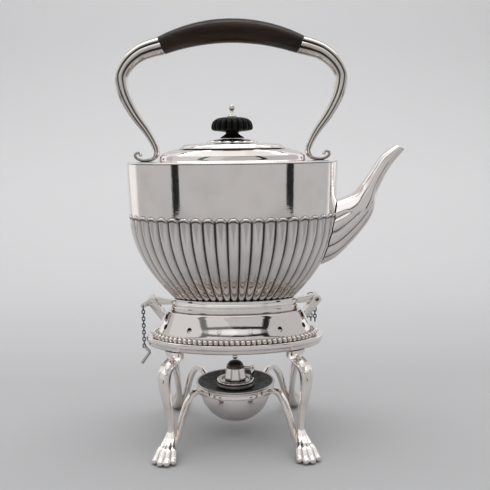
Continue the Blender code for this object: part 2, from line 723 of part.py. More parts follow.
def make_finial(parent):
    """Silver finial whose bolt runs down through knob, rosette and lid."""
    base = knob_levels()[1] + GAP
    tail = lid_levels()[1] - SHEET - GAP - NUT_HEIGHT - BOLT_TAIL
    profile = [(BOLT_RADIUS, tail), (BOLT_RADIUS, base)]
    profile += [(FINIAL_BASE_RADIUS * share, base + rise * FINIAL_HEIGHT) for share, rise in FINIAL_SHARES]
    return turned_solid("finial_bolt", profile, parent, SILVER, columns=12)


def make_nut(parent):
    """Hexagonal nut under the lid that draws the bolt tight."""
    top = lid_levels()[1] - SHEET - GAP
    bore = BOLT_RADIUS + GAP
    section = [(NUT_RADIUS, top), (NUT_RADIUS, top - NUT_HEIGHT), (bore, top - NUT_HEIGHT), (bore, top)]
    return turned_ring("knob_nut", section, parent, AGED_SILVER, columns=6)


def lid_hinge_place():
    """The lid hinge's axis: its distance behind the stand's axis and its height."""
    return LID_HALF_WIDTH + LID_HINGE_SETBACK, shoulder_levels()[2] + GAP + LID_KNUCKLE_RADIUS


def make_box(name, low, high, parent, finish):
    """A box between two corners."""
    mesh = bmesh.new()
    centre = (Vector(low) + Vector(high)) / 2.0
    size = Vector(high) - Vector(low)
    bmesh.ops.create_cube(mesh, size=1.0, matrix=Matrix.Translation(centre) @ Matrix.Diagonal((*size, 1.0)))
    return make_object(name, mesh, parent, finish)


def make_lid_hinge(fixed_parent, lid_parent):
    """Fixed leaf with two knuckles, moving leaf with one, and the pin through them."""
    back, height = lid_hinge_place()
    across = (1.0, 0.0, 0.0)
    seat = shoulder_levels()[2] + GAP
    spacing = LID_KNUCKLE_LENGTH + GAP
    half = spacing + LID_KNUCKLE_LENGTH / 2.0
    bore = LID_PIN_RADIUS + GAP
    leaf = make_box(
        "lid_hinge_leaf", (-half, back + bore, seat), (half, back + bore + LID_LEAF_REACH, seat + LID_LEAF),
        fixed_parent, SILVER,
    )
    places = [(side * spacing, back, height) for side in (-1.0, 1.0)]
    unite(leaf, make_cylinders(
        "leaf_knuckles", places, across, LID_KNUCKLE_RADIUS, LID_KNUCKLE_LENGTH, fixed_parent, None))
    centre = [(0.0, back, height)]
    clearing = LID_KNUCKLE_RADIUS + GAP
    cut(leaf, make_cylinders(
        "leaf_clearing", centre, across, clearing, LID_KNUCKLE_LENGTH + 2.0 * GAP, fixed_parent, None))
    cut(leaf, make_cylinders("leaf_bore", centre, across, bore, 2.0 * half + OVERRUN, fixed_parent, None, 10))
    tab = make_box(
        "lid_hinge_tab", (-LID_KNUCKLE_LENGTH / 2.0, LID_HALF_WIDTH + GAP, seat + GAP),
        (LID_KNUCKLE_LENGTH / 2.0, back, seat + GAP + LID_LEAF), lid_parent, SILVER,
    )
    unite(tab, make_cylinders(
        "tab_knuckle", centre, across, LID_KNUCKLE_RADIUS, LID_KNUCKLE_LENGTH, lid_parent, None))
    cut(tab, make_cylinders("tab_bore", centre, across, bore, LID_KNUCKLE_LENGTH + OVERRUN, lid_parent, None, 10))
    make_cylinders("lid_hinge_pin", centre, across, LID_PIN_RADIUS, 2.0 * half, fixed_parent, AGED_SILVER, 10)


def spout_edges():
    """Smooth upper and lower edges of the spout and its half widths."""
    reach = SPOUT_TIP - SPOUT_ROOT
    rise = SPOUT_TOP - SPOUT_LOW
    points = []
    for upper, lower, width in zip(SPOUT_UPPER_SHARES, SPOUT_LOWER_SHARES, SPOUT_WIDTH_SHARES):
        top = Vector((SPOUT_ROOT + upper[0] * reach, 0.0, SPOUT_LOW + upper[1] * rise))
        low = Vector((SPOUT_ROOT + lower[0] * reach, 0.0, SPOUT_LOW + lower[1] * rise))
        points.append((top, low, width * SPOUT_HALF_WIDTH))
    tops = smooth_path([point[0] for point in points], SPOUT_STEPS)
    lows = smooth_path([point[1] for point in points], SPOUT_STEPS)
    widths = smooth_path([(point[2], 0.0, 0.0) for point in points], SPOUT_STEPS)
    lobes = smooth_path([(share, 0.0, 0.0) for share in SPOUT_LOBE_SHARES], SPOUT_STEPS)
    return [(top, low, width.x, max(lobe.x, 0.0)) for top, low, width, lobe in zip(tops, lows, widths, lobes)]


def spout_loop(top, low, width, lobe, inset, columns):
    """One section of the spout, its lower half lobed, drawn in by an inset."""
    centre = (top + low) / 2.0
    rise = top - centre
    scale = (rise.length - inset) / rise.length
    points = []
    for i in range(columns):
        angle = 2.0 * math.pi * i / columns
        below = max(0.0, -math.cos(angle))
        wave = 0.5 - 0.5 * math.cos(angle * SPOUT_LOBES * 2.0)
        sink = SPOUT_LOBE_DEPTH * lobe * wave * (1.0 if below > 0.0 else 0.0)
        fall = rise * math.cos(angle) * (scale - sink / rise.length)
        points.append(centre + fall + Vector((0.0, (width - inset - sink) * math.sin(angle), 0.0)))
    return points


def make_spout(parent):
    """Hollow lobed spout, cut to the body's wall and open at its mouth."""
    edges = spout_edges()
    outer = [spout_loop(top, low, width, lobe, 0.0, SPOUT_COLUMNS) for top, low, width, lobe in edges]
    spout = loft("spout", outer, parent, SILVER)
    bore = [spout_loop(top, low, width, 0.0, SHEET + SPOUT_LOBE_DEPTH * lobe, SPOUT_COLUMNS // 2)
            for top, low, width, lobe in edges]
    start = Vector((-OVERRUN, 0.0, 0.0))
    mouth = (edges[-1][0] - edges[-1][1]).normalized()
    outward = Vector((-mouth.z, 0.0, mouth.x)) * -OVERRUN
    bore = [[point + start for point in bore[0]]] + bore[1:-1] + [bore[-1]]
    bore.append([point + outward for point in bore[-1]])
    cut(spout, loft("spout_bore", bore, parent, None))
    angles, _ = body_columns()
    skin = FLUTE_PROUD + GAP
    loops = []
    for height in [RIM_LEVEL] + body_heights():
        loops.append([body_point(angle, crest_half_length(height) + skin, height) for angle in angles])
    cut(spout, loft("spout_seat", loops, parent, None))
    return spout


def grip_arc(share):
    """Centre of the grip's arc at a share from -1 to 1 along it: distance and height."""
    half = GRIP_CHORD / 2.0
    radius = (half ** 2 + GRIP_SAG ** 2) / (2.0 * GRIP_SAG)
    angle = share * math.asin(half / radius)
    crown = HANDLE_TOP - GRIP_HALF_HEIGHT
    return radius * math.sin(angle), crown - radius * (1.0 - math.cos(angle))


def grip_end():
    """The joint between grip and arm: its place and the grip's direction there."""
    half = GRIP_CHORD / 2.0
    radius = (half ** 2 + GRIP_SAG ** 2) / (2.0 * GRIP_SAG)
    slope = math.asin(half / radius)
    reach, height = grip_arc(1.0)
    return Vector((reach, 0.0, height)), Vector((math.cos(slope), 0.0, -math.sin(slope)))


def mirrored(vector, side):
    """A point or direction carried to the side of the handle at hand."""
    return Vector((vector.x * side, vector.y, vector.z))


def make_grip(parent):
    """Wooden grip with a round tenon at each end, drilled for its pins."""
    stations = []
    for i in range(GRIP_STEPS + 1):
        share = 2.0 * i / GRIP_STEPS - 1.0
        reach, height = grip_arc(share)
        fall = share ** 2
        stations.append((
            reach, height, GRIP_HALF_HEIGHT + fall * (GRIP_END_HALF_HEIGHT - GRIP_HALF_HEIGHT),
            GRIP_HALF_WIDTH + fall * (GRIP_END_HALF_WIDTH - GRIP_HALF_WIDTH),
        ))
    end, along = grip_end()
    ends = ((along.x, -along.z), (along.x, along.z))
    grip = loft("handle_grip", swept_loops(stations, round_section(12), 0.0, ends), parent, DARK_WOOD)
    for side, word in ((-1.0, "left"), (1.0, "right")):
        place = mirrored(end, side)
        direction = mirrored(along, side)
        unite(grip, make_cylinders(
            f"tenon_{word}", [place], direction, TENON_RADIUS, 2.0 * TENON_LENGTH, parent, None))
    places = [mirrored(end + along * TENON_LENGTH / 2.0, side) for side in (-1.0, 1.0)]
    long_drill = 2.0 * ARM_HALF_WIDTH + OVERRUN
    cut(grip, make_cylinders(
        "tenon_drill", places, (0.0, 1.0, 0.0), GRIP_PIN_RADIUS + GAP, long_drill, parent, None, 8))
    length = 2.0 * ARM_HALF_WIDTH * ARM_GROOVE_SHARE
    for place, word in zip(places, ("left", "right")):
        make_cylinders(f"grip_pin_{word}", [place], (0.0, 1.0, 0.0), GRIP_PIN_RADIUS, length, parent, SILVER, 8)


def arm_stations():
    """Stations down one handle arm, from the grip to the curl of its foot."""
    foot = shoulder_levels()[0] + ARM_FOOT_CLEARANCE
    end, _ = grip_end()
    start_share = ARM_PATH_SHARES[0][0]
    outer_share = max(share for share, _ in ARM_PATH_SHARES)
    outer = HANDLE_REACH - ARM_HALF_THICK * ARM_THICK_SHARES[5]
    stations = []
    for (out_share, up_share), thick, wide in zip(ARM_PATH_SHARES, ARM_THICK_SHARES, ARM_WIDTH_SHARES):
        share = (out_share - start_share) / (outer_share - start_share)
        reach = end.x + share * (outer - end.x)
        height = foot + up_share * (end.z - foot)
        stations.append((reach, height, ARM_HALF_THICK * thick, ARM_HALF_WIDTH * wide))
    return stations


def make_handle_arms(parent):
    """Two silver arms, each socketed for the grip and ending in a scrolled foot."""
    end, along = grip_end()
    stations = arm_stations()
    first = stations[0]
    stations[0] = (first[0] + along.x * GAP, first[1] + along.z * GAP, first[2], first[3])
    for side, word in ((-1.0, "left"), (1.0, "right")):
        bearing = 0.0 if side > 0.0 else math.pi
        loops = swept_loops(stations, reeded_section(), bearing, ((along.x, along.z), None))
        arm = loft(f"handle_arm_{word}", loops, parent, SILVER)
        place = mirrored(end, side)
        direction = mirrored(along, side)
        depth = 2.0 * (TENON_LENGTH + GAP)
        cut(arm, make_cylinders(
            f"socket_{word}", [place], direction, TENON_RADIUS + GAP, depth, parent, None))
        drill = [mirrored(end + along * TENON_LENGTH / 2.0, side)]
        cut(arm, make_cylinders(
            f"pin_drill_{word}", drill, (0.0, 1.0, 0.0), GRIP_PIN_RADIUS + GAP,
            2.0 * ARM_HALF_WIDTH + OVERRUN, parent, None, 8))


def eye_outline(centre, radius, base, side=1.0, steps=10):
    """Outline of a bar that ends in a round eye; base holds its two far corners."""
    middle = (Vector(base[0]) + Vector(base[1])) / 2.0
    away = Vector(centre) - middle
    heading = math.atan2(away.y, away.x)
    start = heading - math.radians(115.0)
    sweep = math.radians(230.0)
    arc = [
        (centre[0] + radius * math.cos(start + sweep * i / steps),
         centre[1] + radius * math.sin(start + sweep * i / steps))
        for i in range(steps + 1)
    ]
    corners = sorted(base, key=lambda corner: away.x * (corner[1] - middle.y) - away.y * (corner[0] - middle.x))
    outline = [corners[0], *arc, corners[1]]
    return [(side * x, z) for x, z in outline]


def make_kettle_lugs(parent):
    """Bars from the foot ring to the two pivot eyes."""
    level = PIVOT_Z - BAR_DROP
    inner = FOOT_HALF_LENGTH - FOOT_STEP + GAP
    base = [(inner, level - BAR_HALF_HEIGHT), (inner, level + BAR_HALF_HEIGHT)]
    for side, word in ((-1.0, "left"), (1.0, "right")):
        outline = eye_outline((PIVOT_X, PIVOT_Z), EYE_RADIUS, base, side)
        lug = extrude_outline(f"kettle_lug_{word}", outline, -TONGUE / 2.0, TONGUE / 2.0, parent, SILVER)
        place = [(side * PIVOT_X, 0.0, PIVOT_Z)]
        cut(lug, make_cylinders(
            f"tongue_drill_{word}", place, (0.0, 1.0, 0.0), PIN_RADIUS + GAP, TONGUE + OVERRUN, parent, None))


def collar_section():
    """Outer (half length, height) points of the collar, from its foot to its top."""
    foot = RING_TOP - RING_DISH + GAP
    top = FOOT_LEVEL - GAP
    return [
        (COLLAR_TOP_HALF_LENGTH + out * COLLAR_SPREAD, foot + up * (top - foot))
        for out, up in COLLAR_FLARE_SHARES
    ]


def fork_width():
    """Distance over the two ears of a stand lug."""
    return TONGUE + 2.0 * GAP + 2.0 * EAR


def chain_eye():
    """Centre of the small eye on the left lug's front ear that its chain hangs from."""
    x = PIVOT_X + CHAIN_EYE_REACH * math.cos(CHAIN_EYE_ANGLE)
    z = PIVOT_Z + CHAIN_EYE_REACH * math.sin(CHAIN_EYE_ANGLE)
    return Vector((-x, -(fork_width() - CHAIN_EYE_THICK) / 2.0, z))


def chain_lug():
    """Centre of the small lug behind the right lug that the other chain hangs from."""
    return Vector((PIVOT_X, fork_width() / 2.0 + CHAIN_LUG_STAND_OFF, PIVOT_Z - CHAIN_LUG_DROP))


def make_stand_lugs(parent):
    """Forked struts on the collar that hold the kettle's two eyes."""
    (low_x, low_z), (high_x, high_z) = collar_section()[3], collar_section()[4]
    slope = Vector((high_x - low_x, high_z - low_z)).normalized()
    outward = Vector((slope.y, -slope.x))
    seat = (Vector((low_x, low_z)) + Vector((high_x, high_z))) / 2.0 + outward * 2.0 * GAP
    base = [tuple(seat + slope * STRUT_BASE_HALF), tuple(seat - slope * STRUT_BASE_HALF)]
    half = fork_width() / 2.0
    slot = EYE_RADIUS + GAP
    lugs = {}
    for side, word in ((-1.0, "left"), (1.0, "right")):
        outline = eye_outline((PIVOT_X, PIVOT_Z), EYE_RADIUS, base, side)
        lug = extrude_outline(f"stand_lug_{word}", outline, -half, half, parent, SILVER)
        opening = make_box(
            f"fork_slot_{word}", (side * PIVOT_X - 2.0 * slot, -TONGUE / 2.0 - GAP, PIVOT_Z - slot - BAR_HALF_HEIGHT),
            (side * PIVOT_X + 2.0 * slot, TONGUE / 2.0 + GAP, PIVOT_Z + slot + OVERRUN), parent, None,
        )
        cut(lug, opening)
        lugs[word] = lug
    eye = chain_eye()
    root = Vector((-PIVOT_X, 0.0, PIVOT_Z))
    away = (Vector((eye.x, 0.0, eye.z)) - root).normalized()
    aside = Vector((away.z, 0.0, -away.x)) * CHAIN_EYE_RADIUS
    corners = [(-(root + aside * way + away * EYE_RADIUS / 2.0).x, (root + aside * way + away * EYE_RADIUS / 2.0).z)
               for way in (1.0, -1.0)]
    outline = eye_outline((-eye.x, eye.z), CHAIN_EYE_RADIUS, corners, -1.0)
    near = eye.y - CHAIN_EYE_THICK / 2.0
    unite(lugs["left"], extrude_outline("chain_ear", outline, near, near + CHAIN_EYE_THICK, parent, None))
    cut(lugs["left"], make_cylinders(
        "chain_drill_left", [eye], (0.0, 1.0, 0.0), CHAIN_EYE_BORE, CHAIN_EYE_THICK + OVERRUN, parent, None, 8))
    lug_eye = chain_lug()
    unite(lugs["right"], make_cylinders(
        "chain_lug", [lug_eye], (1.0, 0.0, 0.0), CHAIN_EYE_RADIUS, CHAIN_LUG_THICK, parent, None, 10))
    cut(lugs["right"], make_cylinders(
        "chain_drill_right", [lug_eye], (1.0, 0.0, 0.0), CHAIN_EYE_BORE, CHAIN_LUG_THICK + OVERRUN, parent, None, 8))
    for side, word in ((-1.0, "left"), (1.0, "right")):
        place = [(side * PIVOT_X, 0.0, PIVOT_Z)]
        cut(lugs[word], make_cylinders(
            f"ear_drill_{word}", place, (0.0, 1.0, 0.0), PIN_RADIUS + GAP, 2.0 * half + OVERRUN, parent, None))


def make_collar(parent):
    """Flared collar with a lip for the kettle's foot and a row of vent holes."""
    outer = collar_section()
    inner = [(x - SHEET, z) for x, z in outer[:-1]]
    inner[-1] = (inner[-1][0], outer[-1][1] - SHEET)
    section = outer + [
        (COLLAR_LIP_HALF_LENGTH, outer[-1][1]), (COLLAR_LIP_HALF_LENGTH, outer[-1][1] - SHEET),
    ] + inner[::-1]
    collar = family_ring("stand_collar", section, parent, SILVER)
    low, high = outer[0][1], outer[-1][1]
    height = low + VENT_SHARE * (high - low)
    reach = (outer[2][0] + outer[4][0]) / 2.0
    shares = [(k + 0.5) / VENTS for k in range(VENTS)]
    mesh = bmesh.new()
    for angle in girth_angles(reach, half_width(reach), shares):
        place = (reach * math.cos(angle), half_width(reach) * math.sin(angle), height)
        facing = (math.cos(angle) / reach, math.sin(angle) / half_width(reach), 0.0)
        add_cylinder(mesh, place, facing, VENT_RADIUS, 2.0 * OVERRUN + SHEET, 6)
    cut(collar, make_object("vent_drills", mesh, parent, None))


def make_border(parent):
    """Gadrooned moulding in the corner between collar and ring."""
    half_long = COLLAR_FOOT_HALF_LENGTH + GAP + BORDER_RADIUS
    height = RING_TOP - RING_DISH + GAP + BORDER_RADIUS
    shares = [k / (2.0 * BORDER_LOBES) for k in range(2 * BORDER_LOBES)]
    angles = girth_angles(half_long, half_width(half_long), shares)
    sides = ((1.0, -1.0), (0.55, 1.0), (-1.0, -1.0))
    loops = []
    for number, angle in enumerate(angles):
        radius = BORDER_RADIUS - (BORDER_DEPTH if number % 2 else 0.0)
        loop = []
        for out, up in sides:
            swell = radius if up > -1.0 else BORDER_RADIUS
            loop.append(body_point(angle, half_long + out * (radius if out > 0.0 else BORDER_RADIUS), height + up * swell))
        loops.append(loop)
    return loft("gadroon_border", loops, parent, SILVER, closed=True)


def make_ring(parent):
    """Oval ring plate with a dished top and a stepped edge."""
    top = RING_TOP
    plate = top - RING_DISH
    bottom = top - RING_DEPTH
    section = [
        (RING_HALF_LENGTH, top), (RING_HALF_LENGTH, top - RING_DEPTH / 2.0),
        (RING_HALF_LENGTH - RING_STEP, top - RING_DEPTH / 2.0 - RING_STEP / 2.0),
        (RING_HALF_LENGTH - RING_STEP, bottom + RING_STEP), (RING_HALF_LENGTH - 2.0 * RING_STEP, bottom),
        (RING_HALF_LENGTH - 2.0 * RING_LIP - RING_STEP, bottom),
        (RING_HALF_LENGTH - 2.0 * RING_LIP - RING_STEP, plate - SHEET),
        (RING_OPENING_HALF_LENGTH, plate - SHEET), (RING_OPENING_HALF_LENGTH, plate),
        (RING_HALF_LENGTH - 2.0 * RING_LIP, plate), (RING_HALF_LENGTH - RING_LIP, top),
    ]
    return family_ring("stand_ring", section, parent, SILVER)


def leg_section(toes):
    """Section of a leg: four toes in front, where they show, and a plain back."""
    side_shares = (-1.0, -0.78, -0.5, -0.26, 0.0, 0.26, 0.5, 0.78, 1.0)
    groove_places = (2, 4, 6)
    front = []
    for number, across in enumerate(side_shares):
        depth = math.sqrt(max(0.0, 1.0 - abs(across) ** 2.4))
        ridge = 1.0 + (0.12 * (1.0 - toes) if number == 4 else 0.0)
        groove = TOE_GROOVE_SHARE * toes if number in groove_places else 0.0
        front.append((depth * (ridge - groove), across))
    back = [(-0.62, 0.82), (-0.92, 0.45), (-1.0, 0.0), (-0.92, -0.45), (-0.62, -0.82)]
    return front + back


def leg_centre(number, side_x, side_y):
    """Centre of one leg station."""
    top = RING_TOP - RING_DEPTH - GAP
    return Vector((
        side_x * (LEG_TOP_SHARES[0] * RING_HALF_LENGTH + LEG_X_SHARES[number] * LEG_SPLAY_X),
        side_y * (LEG_TOP_SHARES[1] * half_width(RING_HALF_LENGTH) + LEG_Y_SHARES[number] * LEG_SPLAY_Y),
        top * LEG_HEIGHT_SHARES[number],
    ))


def leg_loops(side_x, side_y, growth):
    """Loops down one leg, grown all round by a small amount."""
    out = Vector((side_x * math.cos(LEG_BEARING), side_y * math.sin(LEG_BEARING), 0.0))
    across = Vector((-out.y, out.x, 0.0))
    loops = []
    for number in range(len(LEG_HEIGHT_SHARES)):
        centre = leg_centre(number, side_x, side_y)
        depth = LEG_HALF_DEPTH * LEG_DEPTH_SHARES[number] + growth
        width = LEG_HALF_WIDTH * LEG_WIDTH_SHARES[number] + growth
        section = leg_section(LEG_TOE_SHARES[number])
        loops.append([centre + out * depth * p + across * width * q for p, q in section])
    return loops


def corners():
    """The four corners of the stand: (side in X, side in Y, the corner's name)."""
    sides = (("left", -1.0), ("right", 1.0))
    return [(x, y, f"{end}_{word}") for end, y in (("front", -1.0), ("back", 1.0)) for word, x in sides]


def make_legs(parent):
    """Four cabriole legs with bracketed tops and lion's-paw feet."""
    for side_x, side_y, corner in corners():
        loft(f"leg_{corner}", leg_loops(side_x, side_y, 0.0), parent, SILVER)


def make_cradle(parent):
    """Ring for the lamp, carried on four bars that rise from the legs' ankles."""
    inner = CRADLE_RADIUS - CRADLE_WALL
    low = CRADLE_TOP - CRADLE_DEPTH
    section = [(CRADLE_RADIUS, CRADLE_TOP), (CRADLE_RADIUS, low), (inner, low), (inner, CRADLE_TOP)]
    turned_ring("cradle_ring", section, parent, SILVER, columns=32)
    ankle = leg_centre(len(LEG_HEIGHT_SHARES) - 3, 1.0, 1.0)
    bearing = math.atan2(ankle.y, ankle.x)
    reach = math.hypot(ankle.x, ankle.y)
    start = CRADLE_RADIUS + GAP
    square = [(1.0, 1.0), (-1.0, 1.0), (-1.0, -1.0), (1.0, -1.0)]
    stations = []
    for (out_share, up_share), thick in zip(CRADLE_PATH_SHARES, CRADLE_THICK_SHARES):
        out = start + out_share * (reach - start)
        up = CRADLE_BAR_FOOT + up_share * (CRADLE_TOP - CRADLE_BAR_FOOT)
        stations.append((out, up, CRADLE_BAR_HALF * thick, CRADLE_BAR_HALF))
    for side_x, side_y, corner in corners():
        turn = math.atan2(side_y * math.sin(bearing), side_x * math.cos(bearing))
        bar = loft(f"cradle_bar_{corner}", swept_loops(stations, square, turn), parent, SILVER)
        cut(bar, loft(f"leg_seat_{corner}", leg_loops(side_x, side_y, GAP + GAP / 3.0), parent, None))


def disc_level():
    """Height of the lamp disc's underside at its rim."""
    return CRADLE_TOP + GAP


def make_bowl(parent):
    """Spirit bowl, open at the top under the disc."""
    top = disc_level() - GAP
    outer_steps = [i / BOWL_STEPS for i in range(BOWL_STEPS + 1)]
    depth = top - BOWL_BOTTOM
    foot = 0.22
    outer = [
        (BOWL_RADIUS * math.sqrt(max(foot ** 2, 1.0 - share ** BOWL_POWER)), top - share * depth)
        for share in outer_steps
    ]
    inner = [(radius - SHEET, max(height, BOWL_BOTTOM + SHEET)) for radius, height in outer]
    loops = [oval_loop(radius, radius, height, ROUND_COLUMNS) for radius, height in outer[::-1] + inner]
    return loft("burner_bowl", loops, parent, SILVER)


def make_disc(parent):
    """Dished disc that closes the bowl and hangs the lamp on the cradle ring."""
    rim = disc_level()
    well = rim - DISC_DISH
    hole = NECK_BORE + SHEET
    shoulder = NECK_RADIUS + SHEET
    clear = BOWL_RADIUS - SHEET - GAP
    section = [
        (DISC_RADIUS, rim), (DISC_RADIUS, rim + SHEET), (shoulder, well + SHEET), (hole, well + SHEET),
        (hole, well), (shoulder, well), (clear - SHEET, rim - SHEET), (clear, rim),
    ]
    return turned_ring("burner_disc", section, parent, AGED_SILVER, columns=32)


def make_neck(parent):
    """Moulded neck collar on the disc."""
    low = disc_level() - DISC_DISH + SHEET + GAP
    middle = (low + NECK_TOP) / 2.0
    section = [
        (NECK_RADIUS, low), (NECK_RADIUS, middle - SHEET), (NECK_RADIUS - SHEET, middle),
        (NECK_RADIUS, NECK_TOP - SHEET), (NECK_RADIUS - SHEET, NECK_TOP),
        (NECK_BORE, NECK_TOP), (NECK_BORE, low),
    ]
    return turned_ring("burner_neck", section, parent, SILVER)


def make_wick_parts(parent):
    """Flanged wick holder let into the neck, and the cotton wick inside it."""
    outer = NECK_BORE - GAP
    tube = HOLDER_BORE + SHEET
    low = disc_level() - DISC_DISH - 2.0 * OVERRUN
    top = NECK_TOP - SHEET
    section = [
        (tube, top + SHEET), (tube, top), (outer, top), (outer, top - SHEET),
        (tube, top - SHEET), (tube, low), (HOLDER_BORE, low), (HOLDER_BORE, top + SHEET),
    ]
    turned_ring("wick_holder", section, parent, AGED_SILVER, columns=16)
    profile = [(WICK_RADIUS, BOWL_BOTTOM + OVERRUN), (WICK_RADIUS, WICK_TOP - SHEET), (WICK_RADIUS - SHEET, WICK_TOP)]
    turned_solid("wick", profile, parent, COTTON, columns=12)


def snuffer_pivot():
    """Place of the snuffer's pivot."""
    return Vector((SNUFFER_PIVOT_X, 0.0, NECK_TOP + SNUFFER_PIVOT_RISE))


def make_snuffer(parent):
    """Eight-sided hollow bell with a knob on top and an arm to its pivot."""
    base = NECK_TOP + GAP
    outer = [(SNUFFER_RADIUS * share, base + rise * SNUFFER_HEIGHT) for share, rise in SNUFFER_SHARES]
    inner = [(radius - SHEET, height - (SHEET if i else 0.0)) for i, (radius, height) in enumerate(outer)]
    knob_base = outer[-1][1]
    knob = [
        (SNUFFER_KNOB_RADIUS * share, knob_base + SHEET / 2.0 + rise * SNUFFER_KNOB_HEIGHT)
        for share, rise in SNUFFER_KNOB_SHARES
    ]
    loops = [
        oval_loop(radius, radius, height, SNUFFER_SIDES)
        for radius, height in inner[::-1] + outer + knob
    ]
    bell = loft("snuffer", loops, parent, SILVER)
    pivot = snuffer_pivot()
    reach = SNUFFER_RADIUS * SNUFFER_SHARES[2][0] - SHEET / 2.0
    base_points = [(reach, pivot.z - SNUFFER_ARM_HALF_HEIGHT), (reach, pivot.z + SNUFFER_ARM_HALF_HEIGHT)]
    outline = eye_outline((pivot.x, pivot.z), SNUFFER_EYE_RADIUS, base_points, 1.0, 8)
    half = SNUFFER_ARM / 2.0
    unite(bell, extrude_outline("snuffer_arm", outline, -half, half, parent, None))
    cut(bell, make_cylinders(
        "snuffer_drill", [pivot], (0.0, 1.0, 0.0), SNUFFER_PIN_RADIUS + GAP, SNUFFER_ARM + OVERRUN, parent, None, 8))


def make_snuffer_post(parent):
    """Forked post on the neck, and the pin that the snuffer turns on."""
    pivot = snuffer_pivot()
    half = SNUFFER_ARM / 2.0 + GAP + SNUFFER_EAR
    low = NECK_TOP + GAP
    base = [(NECK_BORE + SHEET / 2.0, low), (NECK_RADIUS - SHEET, low)]
    outline = eye_outline((pivot.x, pivot.z), SNUFFER_EYE_RADIUS, base, 1.0, 8)
    post = extrude_outline("snuffer_post", outline, -half, half, parent, SILVER)
    clear = SNUFFER_EYE_RADIUS + GAP
    cut(post, make_box(
        "post_slot", (pivot.x - 2.0 * clear, -SNUFFER_ARM / 2.0 - GAP, pivot.z - clear),
        (pivot.x + 2.0 * clear, SNUFFER_ARM / 2.0 + GAP, pivot.z + 2.0 * clear), parent, None,
    ))
    cut(post, make_cylinders(
        "post_drill", [pivot], (0.0, 1.0, 0.0), SNUFFER_PIN_RADIUS + GAP, 2.0 * half + OVERRUN, parent, None, 8))
    make_cylinders("snuffer_pin", [pivot], (0.0, 1.0, 0.0), SNUFFER_PIN_RADIUS, 2.0 * half, parent, AGED_SILVER, 8)


def loop_points():
    """Centre line of a pin's leaf-shaped loop: (share of its width, distance from its neck)."""
    points = []
    for i in range(LOOP_STEPS):
        angle = 2.0 * math.pi * i / LOOP_STEPS
        share = (1.0 - math.cos(angle)) / 2.0
        points.append((LOOP_HALF_WIDTH * math.sin(angle), LOOP_WIRE + share * (LOOP_LENGTH - 2.0 * LOOP_WIRE)))
    return points


def add_wire_loop(mesh, centres, side, wire):
    """A closed ring of square wire along flat centre points; side is square to their plane."""
    loops = []
    count = len(centres)
    for i, centre in enumerate(centres):
        along = (centres[(i + 1) % count] - centres[i - 1]).normalized()
        normal = side.cross(along)
        corners = ((1.0, 1.0), (-1.0, 1.0), (-1.0, -1.0), (1.0, -1.0))
        half = wire * math.sqrt(0.5)
        loops.append([centre + normal * half * p + side * half * q for p, q in corners])
    add_loft(mesh, loops, closed=True)


def make_pin(name, neck, shank, loop_way, parent):
    """A locking pin: a shank from its neck, and a leaf-shaped loop bent away from it."""
    mesh = bmesh.new()
    add_cylinder(mesh, neck + shank * SHANK_LENGTH / 2.0, shank, PIN_RADIUS, SHANK_LENGTH, 12)
    pin = make_object(name, mesh, parent, SILVER)
    side = shank.cross(loop_way).normalized()
    square = side.cross(loop_way)
    start = neck - loop_way * 2.0 * LOOP_WIRE
    centres = [start + loop_way * along + side * across for across, along in loop_points()]
    wire = bmesh.new()
    add_wire_loop(wire, centres, square, LOOP_WIRE)
    unite(pin, make_object(f"{name}_loop", wire, parent, None))


def link_reach():
    """Distance from a link's centre to the middle of the wire at its flat end."""
    bow = LINK_HALF_WIDTH - LINK_WIRE
    return LINK_LENGTH / 2.0 - LINK_HALF_WIDTH + bow * math.cos(math.pi / LINK_STEPS)


def link_pitch():
    """Distance between the centres of two links; they bite into each other a little."""
    return 2.0 * link_reach() - LINK_BITE_SHARE * LINK_WIRE


def add_link(mesh, centre, along, side):
    """One oval link in the plane of along and side."""
    across = along.cross(side)
    half_straight = LINK_LENGTH / 2.0 - LINK_HALF_WIDTH
    bow = LINK_HALF_WIDTH - LINK_WIRE
    centres = []
    for i in range(LINK_STEPS):
        angle = 2.0 * math.pi * (i + 0.5) / LINK_STEPS
        shift = half_straight if math.cos(angle) > 0.0 else -half_straight
        centres.append(centre + along * (bow * math.cos(angle) + shift) + side * bow * math.sin(angle))
    add_wire_loop(mesh, centres, across, LINK_WIRE)


def make_chain(name, top, count, first_side, parent, ring=None):
    """A plumb run of links as one body, each turned a quarter from the last."""
    down = Vector((0.0, 0.0, -1.0))
    other_side = down.cross(first_side)
    sets = [bmesh.new(), bmesh.new()]
    for number in range(count):
        side = other_side if number % 2 else first_side
        add_link(sets[number % 2], top + down * number * link_pitch(), down, side)
    if ring:
        step = 2.0 * math.pi / RING_STEPS
        centres = [
            ring + Vector((0.0, math.sin(i * step), math.cos(i * step))) * JUMP_RING_RADIUS
            for i in range(RING_STEPS)
        ]
        add_wire_loop(sets[1], centres, Vector((1.0, 0.0, 0.0)), LINK_WIRE)
    chain = make_object(name, sets[0], parent, SILVER)
    unite(chain, make_object(f"{name}_turned_links", sets[1], parent, None))


def left_chain_places():
    """Places of the left chain's jump ring and first link, and of the top of the pin's loop."""
    eye = chain_eye()
    ring = eye - Vector((0.0, 0.0, JUMP_RING_RADIUS - GAP / 2.0))
    bite = LINK_BITE_SHARE * LINK_WIRE
    first = ring - Vector((0.0, 0.0, JUMP_RING_RADIUS - bite + link_reach()))
    last = first - Vector((0.0, 0.0, (LEFT_CHAIN_LINKS - 1) * link_pitch()))
    sling = last - Vector((0.0, 0.0, link_reach() - LOOP_WIRE - LINK_WIRE - GAP))
    return ring, first, sling


